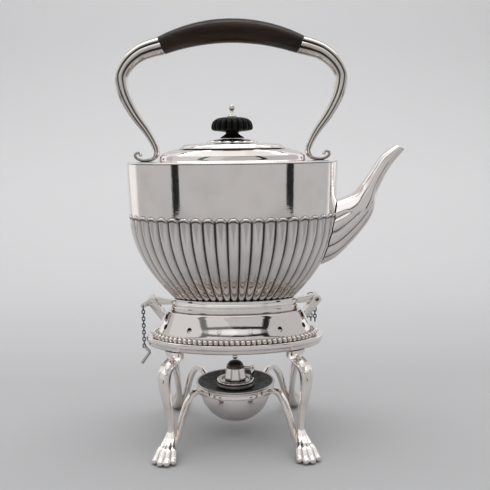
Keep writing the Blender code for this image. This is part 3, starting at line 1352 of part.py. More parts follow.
def left_pin_place():
    """Neck, shank and loop directions of the left pin, hanging in balance."""
    _, _, sling = left_chain_places()
    shank_mass = PIN_RADIUS ** 2 * math.pi * SHANK_LENGTH
    girth = 2.0 * math.pi * math.sqrt((LOOP_HALF_WIDTH ** 2 + (LOOP_LENGTH / 2.0) ** 2) / 2.0)
    loop_mass = 2.0 * LOOP_WIRE ** 2 * girth
    total = shank_mass + loop_mass
    drop = LOOP_LENGTH - 3.0 * LOOP_WIRE
    centre_back = drop - (loop_mass * LOOP_LENGTH / 2.0) / total
    centre_out = shank_mass * SHANK_LENGTH / 2.0 / total
    tilt = math.atan2(centre_out * math.sin(LOOP_BEND), centre_back - centre_out * math.cos(LOOP_BEND))
    loop_way = Vector((-math.sin(tilt), 0.0, math.cos(tilt)))
    shank = Matrix.Rotation(-(math.pi - LOOP_BEND), 3, "Y") @ loop_way
    return sling - loop_way * drop, shank, loop_way


def right_pin_place():
    """Neck, shank and loop directions of the right pin, pushed home from behind."""
    neck = Vector((PIVOT_X, fork_width() / 2.0 + SHANK_NECK, PIVOT_Z))
    shank = Vector((0.0, -1.0, 0.0))
    loop_way = Vector((-math.sin(LOOP_BEND), math.cos(LOOP_BEND), 0.0))
    return neck, shank, loop_way


def right_chain_places():
    """Where the right chain's runs turn, on loop and lug, and the tops of their first links."""
    neck, _, loop_way = right_pin_place()
    sling = neck + loop_way * (LOOP_HANG_SHARE * LOOP_LENGTH - 2.0 * LOOP_WIRE)
    clear = LINK_WIRE * math.sqrt(0.5) + GAP
    loop_wire = sling - Vector((0.0, 0.0, LOOP_HALF_WIDTH * math.cos(math.pi / LOOP_STEPS)))
    on_loop = loop_wire + Vector((0.0, 0.0, LOOP_WIRE * math.sqrt(0.5) + clear))
    on_lug = chain_lug() + Vector((0.0, 0.0, CHAIN_EYE_BORE - clear))
    return loop_wire, chain_lug(), on_loop, on_lug


def make_chains(left_chain, left_pin, right_pin, right_pin_run, right_lug_run):
    """Both locking pins and the chains that keep them."""
    ring, first, _ = left_chain_places()
    make_chain("chain_left", first, LEFT_CHAIN_LINKS, Vector((1.0, 0.0, 0.0)), left_chain, ring)
    make_pin("pin_left", *left_pin_place(), left_pin)
    make_pin("pin_right", *right_pin_place(), right_pin)
    _, _, on_loop, on_lug = right_chain_places()
    half = Vector((0.0, 0.0, link_reach()))
    back = Vector((0.0, 1.0, 0.0))
    make_chain("chain_right_pin_run", on_loop - half, RIGHT_PIN_LINKS, back, right_pin_run)
    make_chain("chain_right_lug_run", on_lug - half, RIGHT_LUG_LINKS, Vector((1.0, 0.0, 0.0)), right_lug_run)


def main():
    """Builds the whole kettle, assembly by assembly."""
    clear_scene()
    stand = make_axis("stand_axis", None, 0.0, 0.0, 0.0)
    stand.location.x = STAND_AXIS_X
    kettle = make_axis("kettle_tilt_axis", stand, PIVOT_X, 0.0, PIVOT_Z)
    hinge_y, hinge_z = lid_hinge_place()
    lid = make_axis("lid_hinge_axis", kettle, 0.0, hinge_y, hinge_z)
    lamp = make_axis("lamp_lift_axis", stand, 0.0, 0.0, CRADLE_TOP)
    pivot = snuffer_pivot()
    snuffer = make_axis("snuffer_axis", lamp, pivot.x, pivot.y, pivot.z)
    left_chain = make_axis("left_chain_axis", stand, *chain_eye())
    left_pin = make_axis("left_pin_axis", left_chain, *left_chain_places()[2])
    right_pin = make_axis("right_pin_axis", stand, *right_pin_place()[0])
    loop_wire, lug_eye, _, _ = right_chain_places()
    right_pin_run = make_axis("right_pin_run_axis", right_pin, *loop_wire)
    right_lug_run = make_axis("right_lug_run_axis", stand, *lug_eye)

    make_body(kettle)
    make_foot_ring(kettle)
    make_shoulder(kettle)
    make_spout(kettle)
    make_kettle_lugs(kettle)
    make_handle_arms(kettle)
    make_grip(kettle)

    make_lid(lid)
    make_rosette(lid)
    make_knob(lid)
    make_finial(lid)
    make_nut(lid)
    make_lid_hinge(kettle, lid)

    make_ring(stand)
    make_collar(stand)
    make_border(stand)
    make_stand_lugs(stand)
    make_legs(stand)
    make_cradle(stand)

    make_bowl(lamp)
    make_disc(lamp)
    make_neck(lamp)
    make_wick_parts(lamp)
    make_snuffer_post(lamp)
    make_snuffer(snuffer)

    make_chains(left_chain, left_pin, right_pin, right_pin_run, right_lug_run)


main()
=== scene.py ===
"""Looks of the half-fluted tea kettle on its spirit stand.

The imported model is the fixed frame. Every visible piece is modelled again over its
node, finer than the solid, and gets its finish: polished, cast or old silver, black
fluted wood, dark wood or cotton. Lengths are in metres, +X runs to the spout and +Y
to the back.
"""

import logging
import math
from dataclasses import dataclass, fields, replace
from enum import Enum
from functools import cache
from typing import Optional, Sequence

import bpy
import numpy as np
from mathutils import Matrix, Vector

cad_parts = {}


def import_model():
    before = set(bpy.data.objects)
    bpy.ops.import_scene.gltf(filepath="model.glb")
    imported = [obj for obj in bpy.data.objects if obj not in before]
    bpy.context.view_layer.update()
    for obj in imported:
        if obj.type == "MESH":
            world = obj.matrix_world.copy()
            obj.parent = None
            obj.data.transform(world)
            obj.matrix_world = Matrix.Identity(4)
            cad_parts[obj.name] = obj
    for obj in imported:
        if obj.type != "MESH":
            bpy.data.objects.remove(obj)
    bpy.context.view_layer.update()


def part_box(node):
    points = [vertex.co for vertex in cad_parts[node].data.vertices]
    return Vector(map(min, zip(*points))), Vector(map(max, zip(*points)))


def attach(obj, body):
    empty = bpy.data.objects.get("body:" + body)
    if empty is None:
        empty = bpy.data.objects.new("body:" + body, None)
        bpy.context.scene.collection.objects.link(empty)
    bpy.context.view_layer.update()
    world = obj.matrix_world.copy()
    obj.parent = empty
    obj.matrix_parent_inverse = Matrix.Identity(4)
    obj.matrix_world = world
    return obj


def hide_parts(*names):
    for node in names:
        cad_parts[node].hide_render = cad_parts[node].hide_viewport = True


LOG = logging.getLogger("kettle")

# Sizes that several sub-assemblies share: the stand's axis, the sheet, the least gap
# between pieces, and the levels and ovals of the body.
AXIS_X = -0.02405
SHEET = 0.0012
GAP = 0.0003
BODY_BOTTOM = 0.1194
FLUTE_LEVEL = 0.1950
RIM_LEVEL = 0.2370
OVAL_DIFFERENCE = 0.0320
BELLY_HALF_LENGTH = 0.0876
BOTTOM_HALF_LENGTH = 0.0495
BELLY_POWER = 2.05
BAND_FLARE = 0.0014

# How near two points lie when they are merged, in a new piece and in a node's copy.
MERGE_DISTANCE = 1e-7
NODE_MERGE_DISTANCE = 1e-6

Level = tuple[float, float, float]
Place = tuple[float, float, float]
Shade = tuple[float, float, float]
Array = np.ndarray
Piece = bpy.types.Object
Group = bpy.types.NodeTree
Socket = bpy.types.NodeSocket


class Shading(Enum):
    """How a finished mesh is shaded, by the angle in degrees up to which it is smooth."""

    SMOOTH = 180.0
    EDGED = 38.0
    CRISP = 24.0


class Slot(Enum):
    """The record's material slots."""

    SILVER = "silver"
    AGED_SILVER = "aged_silver"
    EBONY = "ebony"
    DARK_WOOD = "dark_wood"
    COTTON = "cotton"


class Weave:
    """Builds a shader node group and links its sockets."""

    def __init__(self, name: str, inputs: dict[str, object], outputs: dict[str, str]) -> None:
        """Opens a new group.

        Args:
            name: The group's name.
            inputs: Input names with their default values, a colour as four numbers.
            outputs: Output names with their socket types.
        """
        self.tree = bpy.data.node_groups.new(name, "ShaderNodeTree")
        for key, value in inputs.items():
            kind = "NodeSocketColor" if isinstance(value, tuple) else "NodeSocketFloat"
            socket = self.tree.interface.new_socket(name=key, in_out="INPUT", socket_type=kind)
            socket.default_value = value
        for key, kind in outputs.items():
            self.tree.interface.new_socket(name=key, in_out="OUTPUT", socket_type=kind)
        self.start = self.tree.nodes.new("NodeGroupInput").outputs
        self.end = self.tree.nodes.new("NodeGroupOutput").inputs

    def add(self, kind: str, settings: Optional[dict[str, object]] = None, **feeds: object) -> bpy.types.Node:
        """Adds a node.

        Args:
            kind: The node's Blender type.
            settings: Properties of the node to set.
            **feeds: Input names, with spaces as underscores, or i and a number, and the
                socket or value that feeds each.

        Returns:
            The new node.
        """
        node = self.tree.nodes.new(kind)
        for key, value in (settings or {}).items():
            setattr(node, key, value)
        for key, value in feeds.items():
            place = int(key[1:]) if key[0] == "i" and key[1:].isdigit() else key.replace("_", " ")
            self.feed(node.inputs[place], value)
        return node

    def feed(self, socket: Socket, value: object) -> None:
        """Links a socket to another one, or sets its value.

        Args:
            socket: The input to feed.
            value: The output that feeds it, or its value.
        """
        if isinstance(value, Socket):
            self.tree.links.new(value, socket)
        else:
            socket.default_value = value

    def maths(self, operation: str, first: object, second: object = 0.0,
              held: bool = False) -> Socket:
        """Works out one operation of two values, held from 0 to 1 if asked."""
        node = self.add("ShaderNodeMath", {"operation": operation, "use_clamp": held}, i0=first, i1=second)
        return node.outputs[0]

    def times(self, first: object, second: object) -> Socket:
        """Product of two values, held from 0 to 1."""
        return self.maths("MULTIPLY", first, second, True)

    def plus(self, first: object, second: object) -> Socket:
        """Sum of two values, held from 0 to 1."""
        return self.maths("ADD", first, second, True)

    def noise(self, scale: object, detail: float, stretch: Place = (1.0, 1.0, 1.0)) -> Socket:
        """Noise in the object's own space.

        Args:
            scale: How fine the noise is.
            detail: How many finer layers lie over it.
            stretch: Its scale along each axis.

        Returns:
            The noise's value.
        """
        place = self.add("ShaderNodeTexCoord").outputs["Object"]
        mapped = self.add("ShaderNodeMapping", None, Vector=place, Scale=stretch).outputs[0]
        return self.add("ShaderNodeTexNoise", None, Vector=mapped, Scale=scale, Detail=detail).outputs["Fac"]

    def range(self, value: object, low: object, high: object, start: float = 0.0,
              stop: float = 1.0) -> Socket:
        """Carries a value from one range to another and holds it there.

        Args:
            value: The value.
            low: What start becomes.
            high: What stop becomes.
            start: Where the value's range begins.
            stop: Where it ends.

        Returns:
            The carried value.
        """
        node = self.add("ShaderNodeMapRange")
        for place, item in enumerate((value, start, stop, low, high)):
            self.feed(node.inputs[place], item)
        return node.outputs[0]

    def blend(self, share: object, first: object, second: object) -> Socket:
        """Mixes two colours.

        Args:
            share: How much of the second colour there is.
            first: The colour at share 0.
            second: The colour at share 1.

        Returns:
            The mixed colour.
        """
        return self.add("ShaderNodeMix", {"data_type": "RGBA"}, i0=share, i6=first, i7=second).outputs[2]


class Effects:
    """Node groups that several finishes share, each built once."""

    RESULTS = {"Colour": "NodeSocketColor", "Roughness": "NodeSocketFloat", "Height": "NodeSocketFloat"}

    @staticmethod
    @cache
    def worn_metal() -> Group:
        """Hand-polished metal: tarnish left in hollows, painted shade where the recess mark asks for it and on
        faces that turn downwards, cloudy polish, hairlines and soft hammer marks.

        Returns:
            The node group.
        """
        weave = Weave(
            "worn_metal",
            {"Colour": (0.9, 0.9, 0.9, 1.0), "Tarnish": (0.3, 0.27, 0.22, 1.0), "Roughness": 0.1, "Cloud": 0.05,
             "Hairlines": 0.4, "Hammer": 0.3, "Underside": 0.5}, Effects.RESULTS)
        film_share, grime_roughness = 0.10, 0.35
        # The recess mark darkens towards the tarnish colour: tarnish in hollows, and painted shade where a piece
        # marks it so.
        recess = weave.add("ShaderNodeAttribute", {"attribute_name": "recess"}).outputs["Fac"]
        broad, fine = weave.noise(38.0, 4.0), weave.noise(260.0, 5.0)
        dark_veil = weave.times(weave.range(broad, 0.0, 1.0, 0.46, 0.74), film_share)
        marked_tarnish_and_shade = weave.times(recess, weave.range(fine, 0.92, 1.0, 0.3, 0.6))
        # Faces that turn downwards are darkened towards the tarnish colour: painted shade under things.
        normal = weave.add("ShaderNodeTexCoord").outputs["Normal"]
        facing = weave.add("ShaderNodeSeparateXYZ", None, Vector=normal).outputs["Z"]
        below = weave.times(weave.range(facing, 1.0, 0.0, -0.75, 0.05), weave.start["Underside"])
        painted_shade_below = weave.times(below, weave.range(broad, 0.7, 1.0, 0.3, 0.7))
        tarnish_and_shade = weave.plus(weave.plus(dark_veil, painted_shade_below), marked_tarnish_and_shade)
        cloudy = weave.times(weave.range(fine, 0.0, 1.0, 0.35, 0.7), weave.start["Cloud"])
        rough = weave.plus(weave.plus(weave.start["Roughness"], cloudy), weave.times(marked_tarnish_and_shade, grime_roughness))
        lines_along = weave.noise(900.0, 2.0, (0.08, 1.0, 1.0))
        lines_up = weave.noise(900.0, 2.0, (1.0, 1.0, 0.08))
        lines = weave.times(weave.times(lines_along, lines_up), weave.start["Hairlines"])
        dents = weave.times(weave.noise(62.0, 1.0), weave.start["Hammer"])
        weave.feed(weave.end["Colour"], weave.blend(tarnish_and_shade, weave.start["Colour"], weave.start["Tarnish"]))
        weave.feed(weave.end["Roughness"], rough)
        weave.feed(weave.end["Height"], weave.maths("ADD", lines, dents))
        return weave.tree

    @staticmethod
    @cache
    def turned_wood() -> Group:
        """Close-grained wood: long fibres, darker growth bands, open pores and a hand-rubbed sheen.

        Returns:
            The node group.
        """
        weave = Weave(
            "turned_wood",
            {"Light": (0.2, 0.1, 0.06, 1.0), "Dark": (0.03, 0.015, 0.01, 1.0), "Pore": (0.01, 0.006, 0.004, 1.0),
             "Fibre Scale": 240.0, "Pore Share": 0.5, "Roughness": 0.4, "Rubbed": 0.12}, Effects.RESULTS)
        fibre_height, pore_roughness = 0.6, 0.3
        bands = weave.noise(70.0, 3.0, (0.16, 1.0, 1.0))
        fibres = weave.noise(weave.start["Fibre Scale"], 6.0, (0.05, 1.0, 1.0))
        pores = weave.noise(820.0, 2.0, (0.07, 1.0, 1.0))
        handled = weave.noise(30.0, 3.0)
        tone = weave.times(weave.range(bands, 0.0, 1.0, 0.3, 0.7), weave.range(fibres, 0.45, 1.0, 0.3, 0.7))
        wood = weave.blend(tone, weave.start["Dark"], weave.start["Light"])
        holes = weave.times(weave.range(pores, 1.0, 0.0, 0.34, 0.44), weave.start["Pore Share"])
        sheen = weave.times(weave.range(handled, 0.0, 1.0, 0.4, 0.62), weave.start["Rubbed"])
        rough = weave.maths("SUBTRACT", weave.start["Roughness"], sheen, True)
        weave.feed(weave.end["Colour"], weave.blend(holes, wood, weave.start["Pore"]))
        weave.feed(weave.end["Roughness"], weave.plus(rough, weave.times(holes, pore_roughness)))
        weave.feed(weave.end["Height"], weave.maths("SUBTRACT", weave.times(fibres, fibre_height), holes))
        return weave.tree


@dataclass(frozen=True, kw_only=True)
class Finish:
    """What every finish says: its name, its slot and its shader's own values."""

    name: str
    slot: Slot
    roughness: float
    bump: float
    bump_depth: float
    metallic: float = 0.0
    specular: float = 0.5

    def group(self) -> Group:
        """The node group that the finish is drawn with."""
        return Effects.worn_metal() if self.metallic else Effects.turned_wood()

    def material(self) -> bpy.types.Material:
        """The finish as a material, made once.

        Returns:
            The Principled material that the finish's group feeds.
        """
        found = bpy.data.materials.get(self.name)
        if found:
            return found
        material = bpy.data.materials.new(self.name)
        material.use_nodes = True
        nodes, links = material.node_tree.nodes, material.node_tree.links
        shader = nodes["Principled BSDF"]
        effect = nodes.new("ShaderNodeGroup")
        effect.node_tree = self.group()
        for field in fields(self):
            key, value = field.name.replace("_", " ").title(), getattr(self, field.name)
            if key in effect.inputs:
                effect.inputs[key].default_value = (*value, 1.0) if isinstance(value, tuple) else value
        bump = nodes.new("ShaderNodeBump")
        bump.inputs["Strength"].default_value = self.bump
        bump.inputs["Distance"].default_value = self.bump_depth
        links.new(effect.outputs["Colour"], shader.inputs["Base Color"])
        links.new(effect.outputs["Roughness"], shader.inputs["Roughness"])
        links.new(effect.outputs["Height"], bump.inputs["Height"])
        links.new(bump.outputs["Normal"], shader.inputs["Normal"])
        shader.inputs["Metallic"].default_value = self.metallic
        shader.inputs["Specular IOR Level"].default_value = self.specular
        return material


@dataclass(frozen=True, kw_only=True)
class SilverFinish(Finish):
    """Silver, with the tarnish that polishing has left on it, and shade painted in the same tarnish colour."""

    colour: Shade
    # The tarnish colour serves both the tarnish in hollows and painted shade.
    tarnish: Shade
    cloud: float
    hairlines: float
    hammer: float
    # How dark faces that turn downwards are painted: painted shade.
    underside: float
    slot: Slot = Slot.SILVER
    metallic: float = 1.0


@dataclass(frozen=True, kw_only=True)
class FibreFinish(Finish):
    """Wood or cotton, with long fibres and open pores."""

    light: Shade
    dark: Shade
    pore: Shade
    fibre_scale: float
    pore_share: float
    rubbed: float


POLISHED = SilverFinish(
    name="polished_silver", colour=(0.95, 0.895, 0.865), tarnish=(0.10, 0.085, 0.07), roughness=0.035,
    cloud=0.035, hairlines=0.5, hammer=0.45, underside=0.42, bump=0.10, bump_depth=0.0004)
CAST = SilverFinish(
    name="cast_silver", colour=(0.91, 0.86, 0.82), tarnish=(0.08, 0.066, 0.055), roughness=0.055,
    cloud=0.06, hairlines=0.3, hammer=0.7, underside=0.60, bump=0.16, bump_depth=0.0005)
OLD = SilverFinish(
    name="old_silver", slot=Slot.AGED_SILVER, colour=(0.62, 0.60, 0.57), tarnish=(0.050, 0.048, 0.047),
    roughness=0.16, cloud=0.10, hairlines=0.3, hammer=0.3, underside=0.60, bump=0.08, bump_depth=0.0003)
OLD_CHAIN = replace(OLD, slot=Slot.SILVER)
EBONY = FibreFinish(
    name="carved_ebony", slot=Slot.EBONY, light=(0.010, 0.009, 0.008), dark=(0.003, 0.003, 0.003),
    pore=(0.001, 0.001, 0.001), fibre_scale=420.0, pore_share=0.4, roughness=0.34, rubbed=0.10,
    bump=0.20, bump_depth=0.0003, specular=0.12)
DARK_WOOD = FibreFinish(
    name="turned_dark_wood", slot=Slot.DARK_WOOD, light=(0.050, 0.024, 0.012), dark=(0.004, 0.002, 0.001),
    pore=(0.005, 0.003, 0.002), fibre_scale=260.0, pore_share=0.9, roughness=0.26, rubbed=0.08,
    bump=0.20, bump_depth=0.0004, specular=0.22)
COTTON = FibreFinish(
    name="braided_cotton", slot=Slot.COTTON, light=(0.80, 0.76, 0.68), dark=(0.58, 0.53, 0.45),
    pore=(0.36, 0.32, 0.26), fibre_scale=900.0, pore_share=0.5, roughness=0.98, rubbed=0.05,
    bump=0.8, bump_depth=0.0006)


class Bench:
    """Modelling steps that the sub-assemblies share."""

    @staticmethod
    def clear() -> None:
        """Leaves edit mode and deselects everything."""
        if bpy.context.object and bpy.context.object.mode != "OBJECT":
            bpy.ops.object.mode_set(mode="OBJECT")
        bpy.ops.object.select_all(action="DESELECT")

    @staticmethod
    def take(*pieces: Piece) -> None:
        """Selects only some pieces.

        Args:
            *pieces: The pieces, of which the first becomes the active one.
        """
        Bench.clear()
        for piece in pieces:
            piece.select_set(True)
        bpy.context.view_layer.objects.active = pieces[0]

    @staticmethod
    def made(name: str, place: bool = False) -> Piece:
        """Names the active piece.

        Args:
            name: The piece's name, for its mesh too.
            place: Whether its place and turn are applied to its mesh.

        Returns:
            The piece.
        """
        piece = bpy.context.object
        piece.name = piece.data.name = name
        if place:
            bpy.ops.object.transform_apply(location=True, rotation=True, scale=True)
        return piece

    @staticmethod
    def work(piece: Piece, kind: str, **settings: object) -> Piece:
        """Applies one modifier.

        Args:
            piece: The piece.
            kind: The modifier's Blender type.
            **settings: The modifier's properties.

        Returns:
            The same piece.
        """
        Bench.take(piece)
        modifier = piece.modifiers.new(kind.lower(), kind)
        for key, value in settings.items():
            setattr(modifier, key, value)
        bpy.ops.object.modifier_apply(modifier=modifier.name)
        return piece

    @staticmethod
    def clean(piece: Piece) -> Piece:
        """Merges doubles and turns every face outwards.

        Args:
            piece: The piece.

        Returns:
            The same piece.
        """
        Bench.take(piece)
        bpy.ops.object.mode_set(mode="EDIT")
        bpy.ops.mesh.select_all(action="SELECT")
        bpy.ops.mesh.remove_doubles(threshold=MERGE_DISTANCE)
        bpy.ops.mesh.normals_make_consistent(inside=False)
        bpy.ops.object.mode_set(mode="OBJECT")
        return piece

    @staticmethod
    def stack(name: str, levels: Sequence[Level], columns: int = 128, closed: bool = False) -> Piece:
        """Draws a circle up through levels, as a lathe or a stake would shape it.

        Args:
            name: The piece's name.
            levels: (half length, half width, height) of each ring, in order.
            columns: Points round each ring.
            closed: Whether the last ring joins the first, as in a piece with a bore.

        Returns:
            The closed piece, about the stand's axis.
        """
        Bench.clear()
        first = before = levels[0]
        bpy.ops.mesh.primitive_circle_add(vertices=columns, radius=1.0, location=(AXIS_X, 0.0, first[2]))
        piece = Bench.made(name)
        bpy.ops.object.mode_set(mode="EDIT")
        bpy.ops.mesh.select_all(action="SELECT")
        Bench.grow((1.0, 1.0, first[2]), first)
        if not closed:
            bpy.ops.mesh.edge_face_add()
            bpy.ops.mesh.select_all(action="SELECT")
        for level in [*levels[1:], *([first] if closed else [])]:
            bpy.ops.mesh.extrude_region_move(TRANSFORM_OT_translate={"value": (0.0, 0.0, level[2] - before[2])})
            Bench.grow(before, level)
            before = level
        bpy.ops.object.mode_set(mode="OBJECT")
        bpy.ops.object.transform_apply(location=True, rotation=True, scale=True)
        return Bench.clean(piece)

    @staticmethod
    def grow(before: Level, after: Level) -> None:
        """Resizes the selected ring from one level's size to the next."""
        bpy.ops.transform.resize(
            value=(after[0] / before[0], after[1] / before[1], 1.0), center_override=(AXIS_X, 0.0, after[2]))

    @staticmethod
    def wrap(name: str, loops: Sequence[Sequence[Sequence[float]]], closed: bool = False,
             recess: Optional[Array] = None) -> Piece:
        """Lays a grid over equal loops, for a relief that a lathe or an extrusion can't give.

        Args:
            name: The piece's name.
            loops: Points as [ring, column, axis].
            closed: Whether the last ring joins the first; otherwise both ends are capped.
            recess: How dark each point is painted, from 0 to 1, as [ring, column]: tarnish in hollows, and
                painted shade.

        Returns:
            The closed piece.
        """
        Bench.clear()
        loops = np.array([[tuple(point) for point in loop] for loop in loops], float)
        if closed:
            loops = np.concatenate([loops, loops[:1]])
        rows, columns = loops.shape[:2]
        bpy.ops.mesh.primitive_grid_add(x_subdivisions=columns, y_subdivisions=rows - 1, size=1.0)
        piece = Bench.made(name)
        wrapped = np.concatenate([loops, loops[:, :1]], axis=1)
        piece.data.vertices.foreach_set("co", wrapped.reshape(-1))
        while piece.data.uv_layers:
            piece.data.uv_layers.remove(piece.data.uv_layers[0])
        if recess is not None:
            recess = np.concatenate([recess, recess[:1]]) if closed else recess
            Bench.mark(piece, np.concatenate([recess, recess[:, :1]], axis=1).reshape(-1))
        bpy.ops.object.mode_set(mode="EDIT")
        bpy.ops.mesh.select_all(action="SELECT")
        bpy.ops.mesh.remove_doubles(threshold=MERGE_DISTANCE)
        if not closed:
            bpy.ops.mesh.select_all(action="DESELECT")
            bpy.ops.mesh.select_mode(type="EDGE")
            bpy.ops.mesh.select_non_manifold(extend=False, use_wire=False, use_multi_face=False)
            bpy.ops.mesh.edge_face_add()
        bpy.ops.mesh.select_all(action="SELECT")
        bpy.ops.mesh.normals_make_consistent(inside=False)
        bpy.ops.object.mode_set(mode="OBJECT")
        return piece

    @staticmethod
    def soften(piece: Piece, width: float, segments: int = 3, angle: float = 32.0) -> Piece:
        """Rounds every edge that is sharper than an angle, in degrees."""
        return Bench.work(piece, "BEVEL", width=width, segments=segments, limit_method="ANGLE",
                          angle_limit=math.radians(angle), use_clamp_overlap=True)

    @staticmethod
    def shade(piece: Piece, shading: Shading) -> None:
        """Shades a piece smooth up to its edge angle."""
        Bench.take(piece)
        bpy.ops.object.shade_smooth_by_angle(angle=math.radians(shading.value))

    @staticmethod
    def join(name: str, *pieces: Piece) -> Piece:
        """Makes one object of several.

        Args:
            name: The new piece's name.
            *pieces: The pieces, of which the first one is kept.

        Returns:
            The joined piece.
        """
        Bench.take(*pieces)
        if len(pieces) > 1:
            bpy.ops.object.join()
        return Bench.made(name)

    @staticmethod
    def rod(name: str, start: Vector, end: Vector, radius: float, sides: int = 32,
            rounded: float = 0.0) -> Piece:
        """A turned rod between two points.

        Args:
            name: The rod's name.
            start: The middle of one end.
            end: The middle of the other end.
            radius: Its radius.
            sides: Points round it.
            rounded: How far its ends are rounded.

        Returns:
            The rod.
        """
        Bench.clear()
        way = end - start
        turn = Vector((0.0, 0.0, 1.0)).rotation_difference(way).to_euler()
        bpy.ops.mesh.primitive_cylinder_add(
            vertices=sides, radius=radius, depth=way.length, location=(start + end) / 2.0, rotation=turn)
        piece = Bench.made(name, True)
        return Bench.soften(piece, rounded, 3, 50.0) if rounded else piece

    @staticmethod
    def tube(name: str, course: Sequence[Sequence[float]], sides: int = 20) -> Piece:
        """A round limb whose girth follows its course, with rounded ends.

        Args:
            name: The piece's name.
            course: The centre's three coordinates and the radius of each station.
            sides: Points round each loop.

        Returns:
            The closed limb.
        """
        centres = [Vector(row[:3]) for row in course]
        last, cap_steps, cap_length, lean = len(course) - 1, 6, 0.9, Vector((0.31, 0.17, 0.93))
        loops = []
        for i, (centre, row) in enumerate(zip(centres, course)):
            way = (centres[min(i + 1, last)] - centres[max(i - 1, 0)]).normalized()
            side = way.cross(lean).normalized()
            rise = side.cross(way)
            caps = [(0.0, 1.0)]
            if i in (0, last):
                back = -1.0 if i == 0 else 1.0
                caps = [(back * math.sin(a) * cap_length, math.cos(a)) for a in np.linspace(0.0, 1.4, cap_steps)]
                caps = caps[::-1] if i == 0 else caps
            for along, share in caps:
                middle, reach = centre + way * (along * row[3]), row[3] * share
                loops.append([middle + side * reach * p + rise * reach * q for p, q in round_section(sides)])
        return Bench.wrap(name, loops)

    @staticmethod
    def cast(piece: Piece, grain: float, burnish: int) -> Piece:
        """Melts overlapping shapes into one skin of a given grain and burnishes it."""
        Bench.work(piece, "REMESH", mode="VOXEL", voxel_size=grain)
        return Bench.work(piece, "SMOOTH", factor=0.5, iterations=burnish)

    @staticmethod
    def mark_hollows(piece: Piece, depth: float) -> Piece:
        """Writes how deep in a hollow each point lies, for the tarnish that is left there.

        Args:
            piece: The piece.
            depth: How far a point lies below its neighbours, in metres, where the mark is full.

        Returns:
            The same piece.
        """
        points = Bench.places(piece)
        normals = Bench.read(piece.data.vertices, "normal", 3)
        first, second = Bench.read(piece.data.edges, "vertices", 2, int).T
        degree = np.maximum(np.bincount(np.concatenate([first, second]), minlength=len(points)), 1)

        def mean(values: Array) -> Array:
            """Evens values out over each point's neighbours.

            Args:
                values: One row for each point.

            Returns:
                The mean of each point's neighbours.
            """
            columns = values.reshape(len(points), -1)
            total = np.zeros_like(columns)
            np.add.at(total, first, columns[second])
            np.add.at(total, second, columns[first])
            return (total / degree[:, None]).reshape(values.shape)

        evening, spreading, strength = 4, 3, 1.3
        evened = points
        for _ in range(evening):
            evened = mean(evened)
        mark = np.clip(np.sum((evened - points) * normals, axis=1) / depth, 0.0, 1.0)
        for _ in range(spreading):
            mark = 0.5 * mark + 0.5 * mean(mark)
        return Bench.mark(piece, np.clip(mark * strength, 0.0, 1.0))

    @staticmethod
    def mark(piece: Piece, values: Array) -> Piece:
        """Stores a mark for each point as the recess attribute, which darkens the silver: tarnish, and painted
        shade where a piece asks for it.

        Args:
            piece: The piece.
            values: The marks, from 0 to 1.

        Returns:
            The same piece.
        """
        found = piece.data.attributes.get("recess")
        if found:
            piece.data.attributes.remove(found)
        stored = piece.data.attributes.new("recess", "FLOAT", "POINT")
        stored.data.foreach_set("value", values.astype(np.float32))
        return piece

    @staticmethod
    def read(items: Sequence[object], key: str, width: int, kind: type = float) -> Array:
        """Reads one value of a mesh's points or edges.

        Args:
            items: The mesh's collection.
            key: The value's name.
            width: How many numbers it has.
            kind: The numbers' type.

        Returns:
            One row for each item.
        """
        found = np.zeros(len(items) * width, kind)
        items.foreach_get(key, found)
        return found.reshape(-1, width)

    @staticmethod
    def copied(pattern: Piece, name: str, turn: Matrix) -> Piece:
        """Copies a pattern with its own mesh and sets the copy in its place.

        Args:
            pattern: The piece that is copied.
            name: The copy's name.
            turn: The copy's place and turn.

        Returns:
            The copy.
        """
        piece = pattern.copy()
        piece.data = pattern.data.copy()
        bpy.context.scene.collection.objects.link(piece)
        piece.data.transform(turn)
        piece.name = piece.data.name = name
        return piece

    @staticmethod
    def places(piece: Piece) -> Array:
        """The piece's points as an array."""
        return Bench.read(piece.data.vertices, "co", 3)

    @staticmethod
    def reach(piece: Piece) -> Array:
        """How far each point of a piece lies from the stand's axis."""
        place = Bench.places(piece)
        return np.hypot(place[:, 0] - AXIS_X, place[:, 1])

    @staticmethod
    def from_node(node: str, edge: float = 0.00025, cut: float = 3.0) -> Piece:
        """A merged copy of a node with its facets joined and its edges rounded.

        Args:
            node: The node's name.
            edge: How far the edges are rounded.
            cut: Facets that meet at less than this angle, in degrees, are joined.

        Returns:
            The copy.
        """
        Bench.clear()
        source = bpy.data.objects[node]
        piece = source.copy()
        piece.data = source.data.copy()
        piece.parent = None
        for key in list(piece.keys()):
            del piece[key]
        bpy.context.scene.collection.objects.link(piece)
        piece.hide_render = piece.hide_viewport = False
        piece.name = f"{node}_finished"
        Bench.take(piece)
        bpy.ops.object.mode_set(mode="EDIT")
        bpy.ops.mesh.select_all(action="SELECT")
        bpy.ops.mesh.remove_doubles(threshold=NODE_MERGE_DISTANCE)
        bpy.ops.mesh.dissolve_limited(angle_limit=math.radians(cut))
        bpy.ops.mesh.normals_make_consistent(inside=False)
        bpy.ops.object.mode_set(mode="OBJECT")
        return Bench.soften(piece, edge, 2, 40.0) if edge else piece

    @staticmethod
    def dress(piece: Piece, body: str, finish: Finish, node: str,
              shading: Shading = Shading.EDGED) -> Piece:
        """Makes a piece ready: its shading, finish and body, and hides the node that it stands for.

        Args:
            piece: The piece.
            body: The body that it rides on.
            finish: Its finish.
            node: The node that it replaces.
            shading: How it is shaded.

        Returns:
            The same piece.
        """
        Bench.shade(piece, shading)
        piece.data.materials.clear()
        piece.data.materials.append(finish.material())
        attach(piece, body)
        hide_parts(node)
        LOG.info("%s on %s, %d faces", piece.name, body, len(piece.data.polygons))
        return piece

